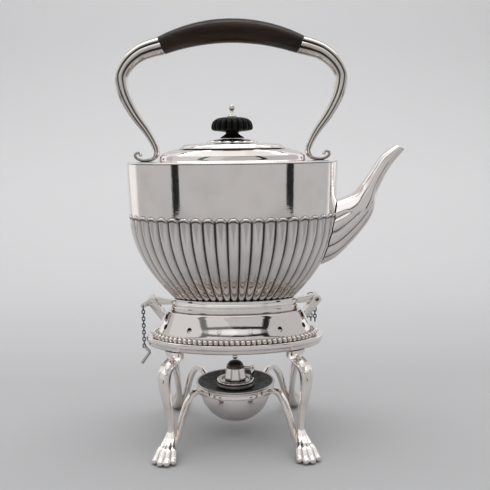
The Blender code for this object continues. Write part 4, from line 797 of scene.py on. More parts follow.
    @staticmethod
    def fettle(node: str, body: str, finish: Finish, edge: float, cut: float = 3.0) -> None:
        """Dresses a node's own shape, with its edges rounded."""
        Bench.dress(Bench.from_node(node, edge, cut), body, finish, node)


def family(levels: Sequence[tuple[float, float]]) -> list[Level]:
    """Rings of the body's and stand's family of ovals, from (half length, height)."""
    return [(long, long - OVAL_DIFFERENCE, height) for long, height in levels]


def turned(levels: Sequence[tuple[float, float]]) -> list[Level]:
    """Round rings from (radius, height)."""
    return [(radius, radius, height) for radius, height in levels]


def flow(points: Sequence[Sequence[float]], steps: int) -> list[tuple[float, ...]]:
    """A smooth course through points, with steps to each span.

    Args:
        points: The points, of any number of values each.
        steps: New points to each span.

    Returns:
        The course, which keeps both end points.
    """
    knots = np.asarray([points[0], *points, points[-1]], float)
    course = []
    for i in range(1, len(knots) - 2):
        p0, p1, p2, p3 = knots[i - 1:i + 3]
        for t in np.arange(steps) / steps:
            course.append(0.5 * (
                2.0 * p1 + (p2 - p0) * t + (2.0 * p0 - 5.0 * p1 + 4.0 * p2 - p3) * t ** 2
                + (3.0 * p1 - p0 - 3.0 * p2 + p3) * t ** 3))
    course.append(knots[-1])
    return [tuple(float(value) for value in point) for point in course]


def ease(value: Array) -> Array:
    """Smooth step from 0 to 1."""
    held = np.clip(value, 0.0, 1.0)
    return held * held * (3.0 - 2.0 * held)


def round_angles(count: int, start: float = 0.0) -> Array:
    """Angles of count points at equal steps round a circle, from a start in steps."""
    return (np.arange(count) + start) * 2.0 * math.pi / count


def girth(long: float, wide: float, count: int) -> Array:
    """Angles at equal steps of an oval's girth, counted from the front.

    Args:
        long: The oval's half length.
        wide: Its half width.
        count: How many angles there are.

    Returns:
        The angles.
    """
    fine = np.linspace(-math.pi / 2.0, 1.5 * math.pi, 7201)
    middle = (fine[1:] + fine[:-1]) / 2.0
    lengths = np.concatenate([[0.0], np.cumsum(np.hypot(long * np.sin(middle), wide * np.cos(middle)))])
    return np.interp(np.arange(count) / count * lengths[-1], lengths, fine)


def hoop(angles: Array, long: Array, wide: Array, height: Array) -> Array:
    """Points of an oval about the stand's axis, with one size for all or one for each."""
    parts = np.broadcast_arrays(AXIS_X + long * np.cos(angles), wide * np.sin(angles), height)
    return np.stack(parts, axis=1)


def crest(height: Array) -> Array:
    """Half length of the body over the crests of its flutes.

    Args:
        height: Height of each point.

    Returns:
        The half length at each point.
    """
    above = BELLY_HALF_LENGTH + np.clip((height - FLUTE_LEVEL) / (RIM_LEVEL - FLUTE_LEVEL), 0.0, 1.0) * BAND_FLARE
    share = np.clip((FLUTE_LEVEL - height) / (FLUTE_LEVEL - BODY_BOTTOM), 0.0, 1.0)
    below = BOTTOM_HALF_LENGTH + (1.0 - share ** BELLY_POWER) * (BELLY_HALF_LENGTH - BOTTOM_HALF_LENGTH)
    return np.where(height >= FLUTE_LEVEL, above, below)


@dataclass
class FlutedVessel:
    """The kettle's raised body, its foot, shoulder and spout."""

    flutes: int = 46
    columns_per_flute: int = 20
    flute_depth: float = 0.0024
    flute_proud: float = 0.0011
    flute_arch: float = 0.0030
    lip_roundness: float = 0.0021
    cap_height: float = 0.0052
    film_reach: float = 0.024
    floor_half_length: float = 0.0365
    spout_lobes: int = 14
    spout_lobe_depth: float = 0.0013
    spout_lobe_arch: float = 0.0022
    spout_flute_level: float = 0.1975
    spout_columns: int = 168
    spout_rows: int = 64

    def relief(self, across: Array, height: Array) -> tuple[Array, Array]:
        """How far the fluted surface stands off the crest line.

        Args:
            across: Place across a flute, from -1 in one groove to 1 in the next.
            height: Height of each point.

        Returns:
            The offset, and how dark each point is painted: tarnish and painted shade in the grooves,
            painted shade in a crescent over and under each cap, and a painted dark reflection that hangs from the
            cap.
        """
        away = np.abs(across)
        drop = FLUTE_LEVEL - self.flute_arch * away ** 2.6 - height
        fall = np.clip((FLUTE_LEVEL - height) / (FLUTE_LEVEL - BODY_BOTTOM), 0.0, 1.0)
        rise = np.sqrt(1.0 - (1.0 - np.clip(drop / self.lip_roundness, 0.0, 1.0)) ** 2)
        depth = self.flute_depth * (1.0 - 0.42 * fall)
        swell = 0.30 + 0.70 * np.exp(-np.clip((drop - 0.0013) / 0.0013, 0.0, None) ** 2)
        proud = self.flute_proud * swell * (1.0 - fall) * (1.0 - away ** 4)
        # The crescents over and under each cap are painted shade, the veil that hangs from the cap is a painted
        # dark reflection, and the grooves hold tarnish and painted shade.
        over_lip = 0.8 * np.exp(-((drop + 0.0002) / 0.0004) ** 2)
        under_lip = 0.95 * np.exp(-((drop - 0.0024) / 0.0009) ** 2) * (1.0 - away ** 5)
        down = drop / self.film_reach
        dark_veil = 0.32 * np.clip((0.66 * (1.0 - down) - away) / 0.16, 0.0, 1.0) * (down > 0.1)
        mark = np.maximum.reduce([rise * away ** 4.5, over_lip, under_lip, dark_veil])
        return rise * (proud - depth * away ** 2.8), np.clip(mark, 0.0, 1.0)

    def body(self) -> None:
        """Plain band over deep lobes, with a smooth inside."""
        count = self.flutes * self.columns_per_flute
        angles = girth(BELLY_HALF_LENGTH, BELLY_HALF_LENGTH - OVAL_DIFFERENCE, count)
        across = (np.arange(count) / self.columns_per_flute + 0.5) % 1.0 * 2.0 - 1.0
        across = np.where(np.isclose(across, -1.0), 1.0, across)
        cap_foot = FLUTE_LEVEL - self.cap_height
        heights = np.concatenate([
            np.linspace(RIM_LEVEL, FLUTE_LEVEL + 0.0030, 8),
            FLUTE_LEVEL + np.array([0.0018, 0.0012, 0.0009, 0.0006, 0.0003]),
            np.linspace(FLUTE_LEVEL, cap_foot, 25),
            cap_foot - np.linspace(0.0, 1.0, 27)[1:] * (cap_foot - BODY_BOTTOM)])
        offsets, marks = self.relief(across, heights[:, None])
        outside = [self.oval(angles, crest(height) + offset, height) for height, offset in zip(heights, offsets)]
        levels = np.concatenate([np.linspace(BODY_BOTTOM + SHEET, FLUTE_LEVEL - 0.004, 18), [RIM_LEVEL]])
        walls = crest(levels) - (SHEET + np.where(levels < FLUTE_LEVEL, self.flute_depth, 0.0))
        inside = [self.oval(angles, self.floor_half_length, BODY_BOTTOM + SHEET)]
        inside += [self.oval(angles, wall, level) for wall, level in zip(walls, levels)]
        bottom = self.oval(angles, self.floor_half_length, BODY_BOTTOM)
        recess = np.concatenate([np.zeros((len(inside), count)), marks, np.zeros((1, count))])
        piece = Bench.wrap("fluted_body", [*inside, *outside, bottom], recess=recess)
        Bench.dress(piece, "kettle", POLISHED, "kettle_body")

    @staticmethod
    def oval(angles: Array, reach: Array, height: float) -> Array:
        """Points of the body's oval family at one height."""
        return hoop(angles, reach, reach - OVAL_DIFFERENCE, height)

    def foot(self) -> None:
        """Foot ring with a plinth, two reeds and a band, drawn to the body."""
        outer = [
            (0.0549, 0.1110), (0.0549, 0.1147), (0.0543, 0.1151), (0.0543, 0.1155), (0.0547, 0.1160),
            (0.0549, 0.1168), (0.0547, 0.1176), (0.0543, 0.1180), (0.0543, 0.1184), (0.0538, 0.1190),
            (0.0536, 0.1198), (0.0536, 0.1211), (0.0531, 0.1216)]
        inner = [(0.0524, 0.1216), (0.0508, 0.1199), (0.0498, 0.1191), (0.0460, 0.1191), (0.0460, 0.1179),
                 (0.0527, 0.1179), (0.0537, 0.1110)]
        piece = Bench.stack("stepped_foot", family(outer + inner), 160, closed=True)
        Bench.dress(Bench.soften(piece, 0.0002, 2), "kettle", POLISHED, "foot_ring")

    def shoulder(self) -> None:
        """Flat shoulder with a rolled rim and a raised platform up to the lid's seat."""
        rim = [(0.0882, 0.2373), (0.0888, 0.2374), (0.0890, 0.2379), (0.0887, 0.2384), (0.0880, 0.23855)]
        platform = flow([
            (0.0632, 0.0404, 0.2386), (0.0618, 0.0391, 0.2393), (0.0613, 0.0387, 0.2412),
            (0.0609, 0.0383, 0.2430), (0.0598, 0.0376, 0.2443), (0.0578, 0.0368, 0.2456),
            (0.0552, 0.0362, 0.2468), (0.0522, 0.0357, 0.2477), (0.0492, 0.0354, 0.2482)], 3)
        levels = [
            *family(rim), (0.0760, 0.0485, 0.2387), (0.0645, 0.0416, 0.2386), *platform,
            (0.0484, 0.0350, 0.2480), (0.0476, 0.0340, 0.2476), (0.0415, 0.0270, 0.2476),
            (0.0415, 0.0270, 0.2466), (0.0474, 0.0338, 0.2466), (0.0596, 0.0372, 0.2430),
            (0.0618, 0.0392, 0.2373)]
        piece = Bench.soften(Bench.stack("stepped_shoulder", levels, 160, closed=True), 0.0002, 2, 40.0)
        place = Bench.places(piece)
        # The seat under the lid and the underside below the rim are painted dark: painted shade.
        seat_length, seat_width, underside = 0.0497, 0.0359, 0.2371
        seat = np.hypot((place[:, 0] - AXIS_X) / seat_length, place[:, 1] / seat_width) < 1.0
        Bench.mark(piece, (seat | (place[:, 2] < underside)).astype(float))
        Bench.dress(piece, "kettle", POLISHED, "shoulder_plate")

    def spout_course(self) -> Array:
        """Lays out the spout along its two edges, each as shares of its reach and rise.

        Returns:
            Stations: top edge, low edge and half width.
        """
        upper = ((0.00, 0.545), (0.20, 0.558), (0.395, 0.605), (0.51, 0.695), (0.625, 0.81), (0.74, 0.925),
                 (0.885, 1.0))
        lower = ((0.00, 0.00), (0.22, 0.075), (0.49, 0.275), (0.632, 0.43), (0.70, 0.63), (0.845, 0.83),
                 (1.0, 0.965))
        width = (1.0, 0.95, 0.76, 0.62, 0.48, 0.36, 0.29)
        out, low, reach, rise, half_width = 0.0720, 0.1480, 0.0736, 0.1024, 0.0175
        rows = [(out + u[0] * reach, low + u[1] * rise, out + v[0] * reach, low + v[1] * rise, w * half_width)
                for u, v, w in zip(upper, lower, width)]
        return np.array(flow(rows, 30))

    def spout_skin(self, course: Array, inset: float, lobed: bool) -> tuple[Array, Array]:
        """One skin of the spout, from the body's wall to the mouth.

        Args:
            course: The stations.
            inset: How far the skin lies inside the outer one.
            lobed: Whether it has the lobes.

        Returns:
            The loops, and how deep in a groove each point lies.
        """
        bare_back, back_fade, in_wall = math.cos(0.55), 0.10, 0.0007
        angle = round_angles(self.spout_columns)
        top, low = course[:, 0:2], course[:, 2:4]
        centre, rise = (top + low) / 2.0, (top - low) / 2.0
        length = np.linalg.norm(rise, axis=1)
        across = np.abs((angle * self.spout_lobes / (2.0 * math.pi) + 0.5) % 1.0 * 2.0 - 1.0)
        plain_z = centre[:, 1:2] + rise[:, 1:2] * np.cos(angle)
        arch = self.spout_flute_level - self.spout_lobe_arch * across ** 2.4
        rising = np.clip((arch - plain_z) / self.spout_lobe_arch, 0.0, 1.0)
        gate = np.sqrt(1.0 - (1.0 - rising) ** 2) if lobed else np.zeros_like(plain_z)
        gate = gate * ease((bare_back - np.cos(angle)) / back_fade)
        sink = inset + gate * (self.spout_lobe_depth if lobed else 0.0) * across ** 2.6
        scale = (length[:, None] - sink) / length[:, None]
        x = AXIS_X + centre[:, 0:1] + rise[:, 0:1] * np.cos(angle) * scale
        z = centre[:, 1:2] + rise[:, 1:2] * np.cos(angle) * scale
        y = (course[:, 4:5] - sink) * np.sin(angle)
        values = np.stack([x, y, z, gate * across ** 8], axis=2)
        skin = crest(z) + in_wall
        outside = ((x - AXIS_X) / skin) ** 2 + (y / (skin - OVAL_DIFFERENCE)) ** 2 - 1.0
        found = np.zeros((self.spout_rows, self.spout_columns, 4))
        for j in range(self.spout_columns):
            inside = np.nonzero(outside[:, j] < 0.0)[0]
            start = 0.0
            if len(inside):
                k = inside[-1]
                start = k + outside[k, j] / (outside[k, j] - outside[k + 1, j])
            places = np.linspace(start, len(course) - 1, self.spout_rows)
            for kind in range(4):
                found[:, j, kind] = np.interp(places, np.arange(len(course)), values[:, j, kind])
        return found[:, :, :3], found[:, :, 3]

    def spout(self) -> None:
        """Hollow spout with long lobes below and a rounded lip at its mouth."""
        course = self.spout_course()
        outer, marks = self.spout_skin(course, 0.0, True)
        inner, _ = self.spout_skin(course, SHEET, False)
        drawn, _ = self.spout_skin(course, SHEET + self.spout_lobe_depth, False)
        share = ease((np.linspace(0.0, 1.0, self.spout_rows) - 0.35) / 0.3)[:, None, None]
        inner = drawn * (1.0 - share) + inner * share
        recess = np.concatenate([marks, np.zeros_like(marks)])
        piece = Bench.wrap("lobed_spout", np.concatenate([outer, inner[::-1]]), closed=True, recess=recess)
        Bench.dress(Bench.soften(piece, 0.00035, 3, 55.0), "kettle", POLISHED, "spout")

    def build(self) -> None:
        """Builds the whole vessel."""
        self.body()
        self.foot()
        self.shoulder()
        self.spout()
        for side in ("left", "right"):
            Bench.fettle(f"kettle_lug_{side}", "kettle", CAST, 0.0005)


def sweep_loops(stations: Sequence[Sequence[float]], section: Array, bearing: float = 0.0,
                ends: tuple[Optional[tuple[float, float]], Optional[tuple[float, float]]] = (None, None)
                ) -> Array:
    """Loops of a section along a path in the upright plane at a bearing.

    Args:
        stations: (distance from the axis, height, half thickness, half width) of each loop.
        section: Points as (share of the half thickness, share of the half width).
        bearing: The plane's angle round the stand's axis.
        ends: The way that each flat end faces, as (outward, upward), where it isn't the path's own.

    Returns:
        The points as [ring, column, axis].
    """
    course = np.asarray(stations, float)
    out = np.array([math.cos(bearing), math.sin(bearing), 0.0])
    side = np.array([-out[1], out[0], 0.0])
    up = np.array([0.0, 0.0, 1.0])
    last = len(course) - 1
    loops = []
    for i, (reach, height, thick, wide) in enumerate(course):
        near, far = course[max(i - 1, 0)], course[min(i + 1, last)]
        way = (far[0] - near[0], far[1] - near[1])
        way = (ends[0] if i == 0 else ends[1] if i == last else None) or way
        along = out * way[0] + up * way[1]
        normal = np.cross(side, along / np.linalg.norm(along))
        centre = out * reach + up * height + np.array([AXIS_X, 0.0, 0.0])
        loops.append([centre + normal * thick * p + side * wide * q for p, q in section])
    return np.array(loops)


def round_section(count: int) -> Array:
    """A round section of count points."""
    angle = round_angles(count)
    return np.stack([np.cos(angle), np.sin(angle)], axis=1)


@dataclass
class BailHandle:
    """Reeded silver arms, their curled feet and the wooden grip."""

    chord: float = 0.1150
    sag: float = 0.0116
    crown: float = 0.3550
    grip_half_height: float = 0.0098
    grip_half_width: float = 0.0090
    tenon_radius: float = 0.0035
    tenon_length: float = 0.0078
    reach: float = 0.09733
    foot_level: float = 0.2392
    arm_half_thickness: float = 0.0076
    arm_half_width: float = 0.0080
    curl_ball: float = 0.0016

    def bow(self) -> tuple[float, float]:
        """The radius of the grip's bow, and the angle from its middle to its end."""
        radius = ((self.chord / 2.0) ** 2 + self.sag ** 2) / (2.0 * self.sag)
        return radius, math.asin(self.chord / 2.0 / radius)

    def grip_station(self, share: float) -> tuple[float, float, float, float]:
        """Finds one station of the grip.

        Args:
            share: Where it lies, from -1 at the left end to 1 at the right one.

        Returns:
            Distance from the axis, height, half height and half width.
        """
        radius, half = self.bow()
        angle, fall = share * half, share ** 2
        level = self.crown - self.grip_half_height - radius * (1.0 - math.cos(angle))
        return (radius * math.sin(angle), level,
                self.grip_half_height - fall * 0.0022, self.grip_half_width - fall * 0.0010)

    def end_way(self) -> tuple[float, float]:
        """The grip's direction at its right end."""
        slope = self.bow()[1]
        return math.cos(slope), -math.sin(slope)

    def grip(self) -> None:
        """Turned grip with its tenons."""
        steps = 48
        stations = [self.grip_station(2.0 * i / steps - 1.0) for i in range(steps + 1)]
        way = self.end_way()
        loops = sweep_loops(stations, round_section(48), 0.0, ((way[0], -way[1]), way))
        parts = [Bench.soften(Bench.wrap("grip", loops), 0.0005, 3, 50.0)]
        for side in (-1.0, 1.0):
            reach, height = self.grip_station(1.0)[:2]
            along = Vector((way[0] * side, 0.0, way[1]))
            start = Vector((AXIS_X + reach * side, 0.0, height))
            parts.append(Bench.rod("tenon", start - along * 0.0005, start + along * self.tenon_length,
                                   self.tenon_radius))
        Bench.dress(Bench.join("turned_grip", *parts), "kettle", DARK_WOOD, "handle_grip")

    def arm_course(self) -> list[tuple[float, ...]]:
        """Leads one arm from the grip to the curl of its foot.

        Returns:
            Stations: distance from the axis, height, half thickness and half width.
        """
        path = (
            (0.593, 1.000), (0.685, 0.975), (0.778, 0.937), (0.868, 0.865), (0.925, 0.780), (0.940, 0.705),
            (0.911, 0.568), (0.832, 0.405), (0.728, 0.250), (0.667, 0.128), (0.660, 0.062), (0.688, 0.020),
            (0.745, 0.008), (0.800, 0.011), (0.835, 0.034), (0.838, 0.062), (0.812, 0.074), (0.794, 0.056))
        thick = (1.0, 0.96, 0.90, 0.84, 0.79, 0.76, 0.67, 0.54, 0.43, 0.37, 0.35, 0.24, 0.18, 0.17, 0.17, 0.17,
                 0.16, 0.13)
        wide = (1.0, 0.94, 0.88, 0.82, 0.78, 0.74, 0.66, 0.56, 0.48, 0.45, 0.46, 0.48, 0.48, 0.46, 0.42, 0.40,
                0.36, 0.30)
        widest = 5
        end, way = self.grip_station(1.0), self.end_way()
        outer = self.reach - self.arm_half_thickness * thick[widest]
        rows = []
        for (out, up), t, w in zip(path, thick, wide):
            share = (out - path[0][0]) / (path[widest][0] - path[0][0])
            rows.append((end[0] + share * (outer - end[0]), self.foot_level + up * (end[1] - self.foot_level),
                         self.arm_half_thickness * t, self.arm_half_width * w))
        rows[0] = (rows[0][0] + way[0] * GAP, rows[0][1] + way[1] * GAP, *rows[0][2:])
        return flow(rows, 7)

    @staticmethod
    def reeded_section(count: int = 60) -> tuple[Array, Array]:
        """A section with three reeds on its front and back faces.

        Args:
            count: Points round it.

        Returns:
            The section, and how deep in a groove each point lies.
        """
        squareness, groove_depth, face = 0.85, 0.30, 0.45
        angle = round_angles(count, 0.5)
        along = np.sign(np.cos(angle)) * np.abs(np.cos(angle)) ** squareness
        across = np.sign(np.sin(angle)) * np.abs(np.sin(angle)) ** squareness
        reed = np.abs(np.cos(1.5 * math.pi * along))
        hollow = (1.0 - reed) ** 1.8 * (np.abs(across) > face)
        return np.stack([along, across * (1.0 - groove_depth * hollow)], axis=1), hollow

    def arms(self) -> None:
        """Both arms, mirrored about the stand's axis."""
        section, hollow = self.reeded_section()
        course = self.arm_course()
        for bearing, side, sign in ((math.pi, "left", -1.0), (0.0, "right", 1.0)):
            loops = sweep_loops(course, section, bearing, (self.end_way(), None))
            arm = Bench.wrap("arm", loops, recess=np.tile(hollow, (len(course), 1)))
            Bench.soften(arm, 0.0003, 2, 60.0)
            x, z, half = AXIS_X + sign * course[-1][0], course[-1][1], 0.0012
            ball = Bench.tube("ball", [(x, -half, z, self.curl_ball), (x, half, z, self.curl_ball)])
            Bench.dress(Bench.join(f"reeded_arm_{side}", arm, ball), "kettle", CAST, f"handle_arm_{side}")
            Bench.fettle(f"grip_pin_{side}", "kettle", CAST, 0.0)

    def build(self) -> None:
        """Builds the grip and its arms."""
        self.grip()
        self.arms()


@dataclass
class LidAndKnob:
    """The hinged lid with its rosette, knob and finial."""

    bore: float = 0.0018
    rosette_lobes: int = 16
    rosette_level: float = 0.2539
    rosette_rise: float = 0.0033
    rosette_radius: float = 0.0229
    knob_lobes: int = 20
    knob_level: float = 0.2575
    knob_rise: float = 0.0174
    knob_radius: float = 0.0176
    knob_groove: float = 0.0022
    bolt_radius: float = 0.0015
    bolt_foot: float = 0.2490
    finial_level: float = 0.2752
    finial_rise: float = 0.0104

    @staticmethod
    def lobed(profile: Sequence[tuple[float, float, float]], lobes: int, per_lobe: int,
              power: float) -> tuple[Array, Array]:
        """Loops of a round lobed piece.

        Args:
            profile: (radius, height, depth of the grooves) of each ring.
            lobes: How many lobes it has.
            per_lobe: Points to a lobe.
            power: How sharp the grooves are.

        Returns:
            The loops, and how deep in a groove each point lies.
        """
        full_mark = 0.0004
        count = lobes * per_lobe
        groove = np.abs((np.arange(count) / per_lobe) % 1.0 * 2.0 - 1.0) ** power
        loops = [hoop(round_angles(count), radius - depth * groove, radius - depth * groove, height)
                 for radius, height, depth in profile]
        marks = [groove ** 2 * min(1.0, depth / full_mark) for _, _, depth in profile]
        return np.array(loops), np.array(marks)

    def lid(self) -> None:
        """Domed lid with a rolled rim and a bezel below."""
        rim = [(0.0410, 0.0265, 0.2456), (0.0410, 0.0265, 0.2486), (0.0440, 0.0295, 0.2487),
               (0.0448, 0.0303, 0.2489), (0.0450, 0.0305, 0.2493), (0.0447, 0.0302, 0.2498),
               (0.0440, 0.0296, 0.2500)]
        dome = flow([
            (0.0434, 0.0290, 0.2501), (0.0424, 0.0282, 0.2512), (0.0404, 0.0268, 0.2525),
            (0.0372, 0.0248, 0.2532), (0.0330, 0.0222, 0.2535), (0.0261, 0.0177, 0.2536)], 4)
        inside = [(0.0150, 0.0110, 0.2536), (self.bore, self.bore, 0.2536), (self.bore, self.bore, 0.2524),
                  (0.0261, 0.0177, 0.2524), (0.0398, 0.0253, 0.2489), (0.0398, 0.0253, 0.2456)]
        piece = Bench.stack("rimmed_lid", rim + dome + inside, 160, closed=True)
        Bench.soften(piece, 0.0002, 2, 40.0)
        # Everything below the rim is painted dark: painted shade under the lid's rim.
        under_rim = 0.24885
        Bench.mark(piece, (Bench.places(piece)[:, 2] < under_rim).astype(float))
        Bench.dress(piece, "lid", POLISHED, "lid")

    def rosette(self) -> None:
        """Radial flutes round the knob's foot."""
        base, rise, radius = self.rosette_level, self.rosette_rise, self.rosette_radius
        ring = flow([(1.0, 0.06, 0.10), (0.99, 0.24, 0.10), (0.93, 0.46, 0.10), (0.80, 0.66, 0.09),
                     (0.62, 0.82, 0.07), (0.42, 0.97, 0.03)], 3)
        profile = [(radius, base, 0.10 * radius)]
        profile += [(radius * share, base + up * rise, depth * radius * 0.9) for share, up, depth in ring]
        profile += [(self.bore, base + rise, 0.0), (self.bore, base, 0.0)]
        loops, marks = self.lobed(profile, self.rosette_lobes, 14, 2.4)
        groove_dip, least_rise = 0.0007, 0.00005
        dip = marks[1:-2] * groove_dip * np.linspace(1.0, 0.4, len(profile) - 3)[:, None]
        loops[1:-2, :, 2] = np.maximum(loops[1:-2, :, 2] - dip, base + least_rise)
        piece = Bench.wrap("fluted_rosette", loops, closed=True, recess=marks * 0.8)
        Bench.dress(piece, "lid", CAST, "knob_rosette")

    def knob(self) -> None:
        """Black knob: flared foot, waist and a melon-fluted disc."""
        foot, rise = self.knob_level, self.knob_rise
        outline = flow([
            (0.56, 0.0, 0.35), (0.57, 0.04, 0.5), (0.49, 0.09, 0.45), (0.39, 0.15, 0.3), (0.33, 0.20, 0.1),
            (0.31, 0.25, 0.0), (0.34, 0.29, 0.0), (0.58, 0.325, 0.5), (0.86, 0.36, 1.0), (0.975, 0.42, 1.0),
            (1.0, 0.51, 1.0), (0.985, 0.63, 1.0), (0.93, 0.77, 1.0), (0.82, 0.88, 0.9), (0.66, 0.955, 0.8),
            (0.42, 1.0, 0.4), (0.30, 1.0, 0.0)], 3)
        profile = [(self.knob_radius * share, foot + min(up, 1.0) * rise, self.knob_groove * lobe)
                   for share, up, lobe in outline]
        profile += [(self.bore, foot + rise, 0.0), (self.bore, foot, 0.0)]
        loops, marks = self.lobed(profile, self.knob_lobes, 12, 2.2)
        Bench.dress(Bench.wrap("melon_knob", loops, closed=True, recess=marks), "lid", EBONY, "knob")

    def finial(self) -> None:
        """Pointed ball finial and its bolt."""
        ball = flow([
            (0.0040, 0.0), (0.0041, 0.05), (0.0036, 0.14), (0.0021, 0.26), (0.0016, 0.38), (0.0016, 0.50),
            (0.0022, 0.58), (0.0026, 0.68), (0.0027, 0.78), (0.0023, 0.89), (0.0014, 0.97), (0.0004, 1.0)], 3)
        levels = [(self.bolt_radius, self.bolt_foot), (self.bolt_radius, self.finial_level)]
        levels += [(radius, self.finial_level + up * self.finial_rise) for radius, up in ball]
        Bench.dress(Bench.stack("ball_finial", turned(levels), 48), "lid", CAST, "finial_bolt")

    def build(self) -> None:
        """Builds the lid, its knob and the hinge's leaves."""
        self.lid()
        self.rosette()
        self.knob()
        self.finial()
        for node, body, finish in (("lid_hinge_leaf", "kettle", CAST), ("lid_hinge_tab", "lid", CAST),
                                   ("lid_hinge_pin", "kettle", OLD), ("knob_nut", "lid", OLD)):
            Bench.fettle(node, body, finish, 0.00012)


@dataclass
class OvalStand:
    """Ring, pierced collar, gadrooned border, forked struts, legs and cradle."""

    collar_foot: float = 0.0879
    collar_rise: float = 0.0228
    collar_half_length: float = 0.0578
    collar_flare: float = 0.0084
    vents: int = 12
    vent_radius: float = 0.0021
    vent_half_length: float = 0.0644
    vent_rise: float = 0.47
    gadroons: int = 78
    gadroon_radius: float = 0.0027
    gadroon_lean: float = 0.07
    gadroon_level: float = 0.0906
    gadroon_half_length: float = 0.0692
    bolt: tuple[float, float] = (0.0710, 0.1198)
    leg_top: float = 0.0817
    leg_front: float = 0.0744

    def ring(self) -> None:
        """Ring plate with a dished top, a rolled edge and a stepped underside."""
        levels = [
            (0.0570, 0.0864), (0.0570, 0.0876), (0.0738, 0.0876), (0.0748, 0.0882), (0.0752, 0.0893),
            (0.0757, 0.0899), (0.0763, 0.0900), (0.0768, 0.0897), (0.0770, 0.0890), (0.0770, 0.0868),
            (0.0768, 0.0862), (0.0762, 0.0857), (0.0759, 0.0850), (0.0758, 0.0838), (0.0754, 0.0827),
            (0.0747, 0.0821), (0.0738, 0.0820), (0.0729, 0.0820), (0.0728, 0.0864)]
        piece = Bench.stack("dished_ring", family(levels), 192, closed=True)
        Bench.dress(Bench.soften(piece, 0.00015, 2, 40.0), "stand", POLISHED, "stand_ring")

    def vent_drills(self) -> Piece:
        """Sets one drill through the collar at each vent.

        Returns:
            All the drills as one tool.
        """
        long, wide, through = self.vent_half_length, self.vent_half_length - OVAL_DIFFERENCE, 0.005
        drills = []
        for angle in girth(long, wide, 2 * self.vents)[1::2]:
            place = Vector((AXIS_X + long * math.cos(angle), wide * math.sin(angle),
                            self.collar_foot + self.vent_rise * self.collar_rise))
            facing = Vector((math.cos(angle) / long, math.sin(angle) / wide, 0.0)).normalized() * through
            drills.append(Bench.rod("vent", place - facing, place + facing, self.vent_radius, 32))
        return Bench.join("vent_drills", *drills)

    def collar(self) -> None:
        """Flared collar, drilled with a row of vents, with a lip for the kettle's foot."""
        outline = flow([(0.93, 0.0), (0.985, 0.07), (1.0, 0.16), (0.97, 0.25), (0.82, 0.37), (0.51, 0.58),
                        (0.25, 0.80), (0.11, 0.94)], 4)
        wall = [(self.collar_half_length + out * self.collar_flare, self.collar_foot + up * self.collar_rise)
                for out, up in outline]
        outer = wall + [(0.0583, 0.1104), (0.0578, 0.1107)]
        lip = [(0.0500, 0.1107), (0.0500, 0.1095), (0.0566, 0.1095)]
        inner = [(out - SHEET, up) for out, up in wall[::-1][1:]]
        piece = Bench.stack("flared_collar", family(outer + lip + inner), 192, closed=True)
        tool = self.vent_drills()
        Bench.work(piece, "BOOLEAN", object=tool, solver="EXACT")
        bpy.data.objects.remove(tool)
        # The inside of the collar is painted dark: painted shade, with the soot of the flame in it.
        place, skin = Bench.places(piece), 0.0004
        walls = sorted((up, out) for out, up in outer)
        reach = np.interp(place[:, 2], [up for up, _ in walls], [out for _, out in walls]) - skin
        inside = np.hypot((place[:, 0] - AXIS_X) / reach, place[:, 1] / (reach - OVAL_DIFFERENCE)) < 1.0
        Bench.mark(piece, inside.astype(float))
        Bench.dress(piece, "stand", POLISHED, "stand_collar")
        Bench.work(piece, "WEIGHTED_NORMAL", keep_sharp=True)

    def border(self) -> None:
        """Round border of upright lobes in the corner between collar and ring."""
        per_lobe, around, long = 8, 14, self.gadroon_half_length
        count = self.gadroons * per_lobe
        angles = girth(long, long - OVAL_DIFFERENCE, count)
        groove_depth, shown_bearing = 0.50, 0.8
        loops, marks = [], []
        for turn in round_angles(around):
            lean = self.gadroon_lean * math.sin(turn)
            across = (np.arange(count) / per_lobe + lean) % 1.0 * 2.0 - 1.0
            # The grooves are darkened, most on the side that faces out and up: tarnish and painted shade between
            # the lobes.
            showing = ease(np.array([0.8 + math.cos(turn - shown_bearing)]))[0]
            groove = np.abs(across) ** 2.6 * showing
            radius = self.gadroon_radius * (1.0 - groove_depth * groove)
            reach = long + radius * math.cos(turn)
            level = self.gadroon_level + radius * math.sin(turn)
            loops.append(hoop(angles, reach, reach - OVAL_DIFFERENCE, level))
            marks.append(groove)
        piece = Bench.wrap("upright_gadroons", loops, closed=True, recess=np.array(marks))
        Bench.dress(piece, "stand", CAST, "gadroon_border")

    def struts(self) -> None:
        """The two forked struts, each with the ring of its bolt."""
        for side, sign in (("left", -1.0), ("right", 1.0)):
            fork = Bench.from_node(f"stand_lug_{side}", 0.0004)
            low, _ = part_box(f"stand_lug_{side}")
            Bench.clear()
            bpy.ops.mesh.primitive_torus_add(
                major_radius=0.0024, minor_radius=0.0006, major_segments=36, minor_segments=12,
                location=(AXIS_X + sign * self.bolt[0], low.y + 0.0004, self.bolt[1]),
                rotation=(math.pi / 2.0, 0.0, 0.0))
            piece = Bench.join(f"forked_strut_{side}", fork, Bench.made("bolt_ring", True))
            Bench.dress(Bench.mark_hollows(piece, 0.0002), "stand", CAST, f"stand_lug_{side}")

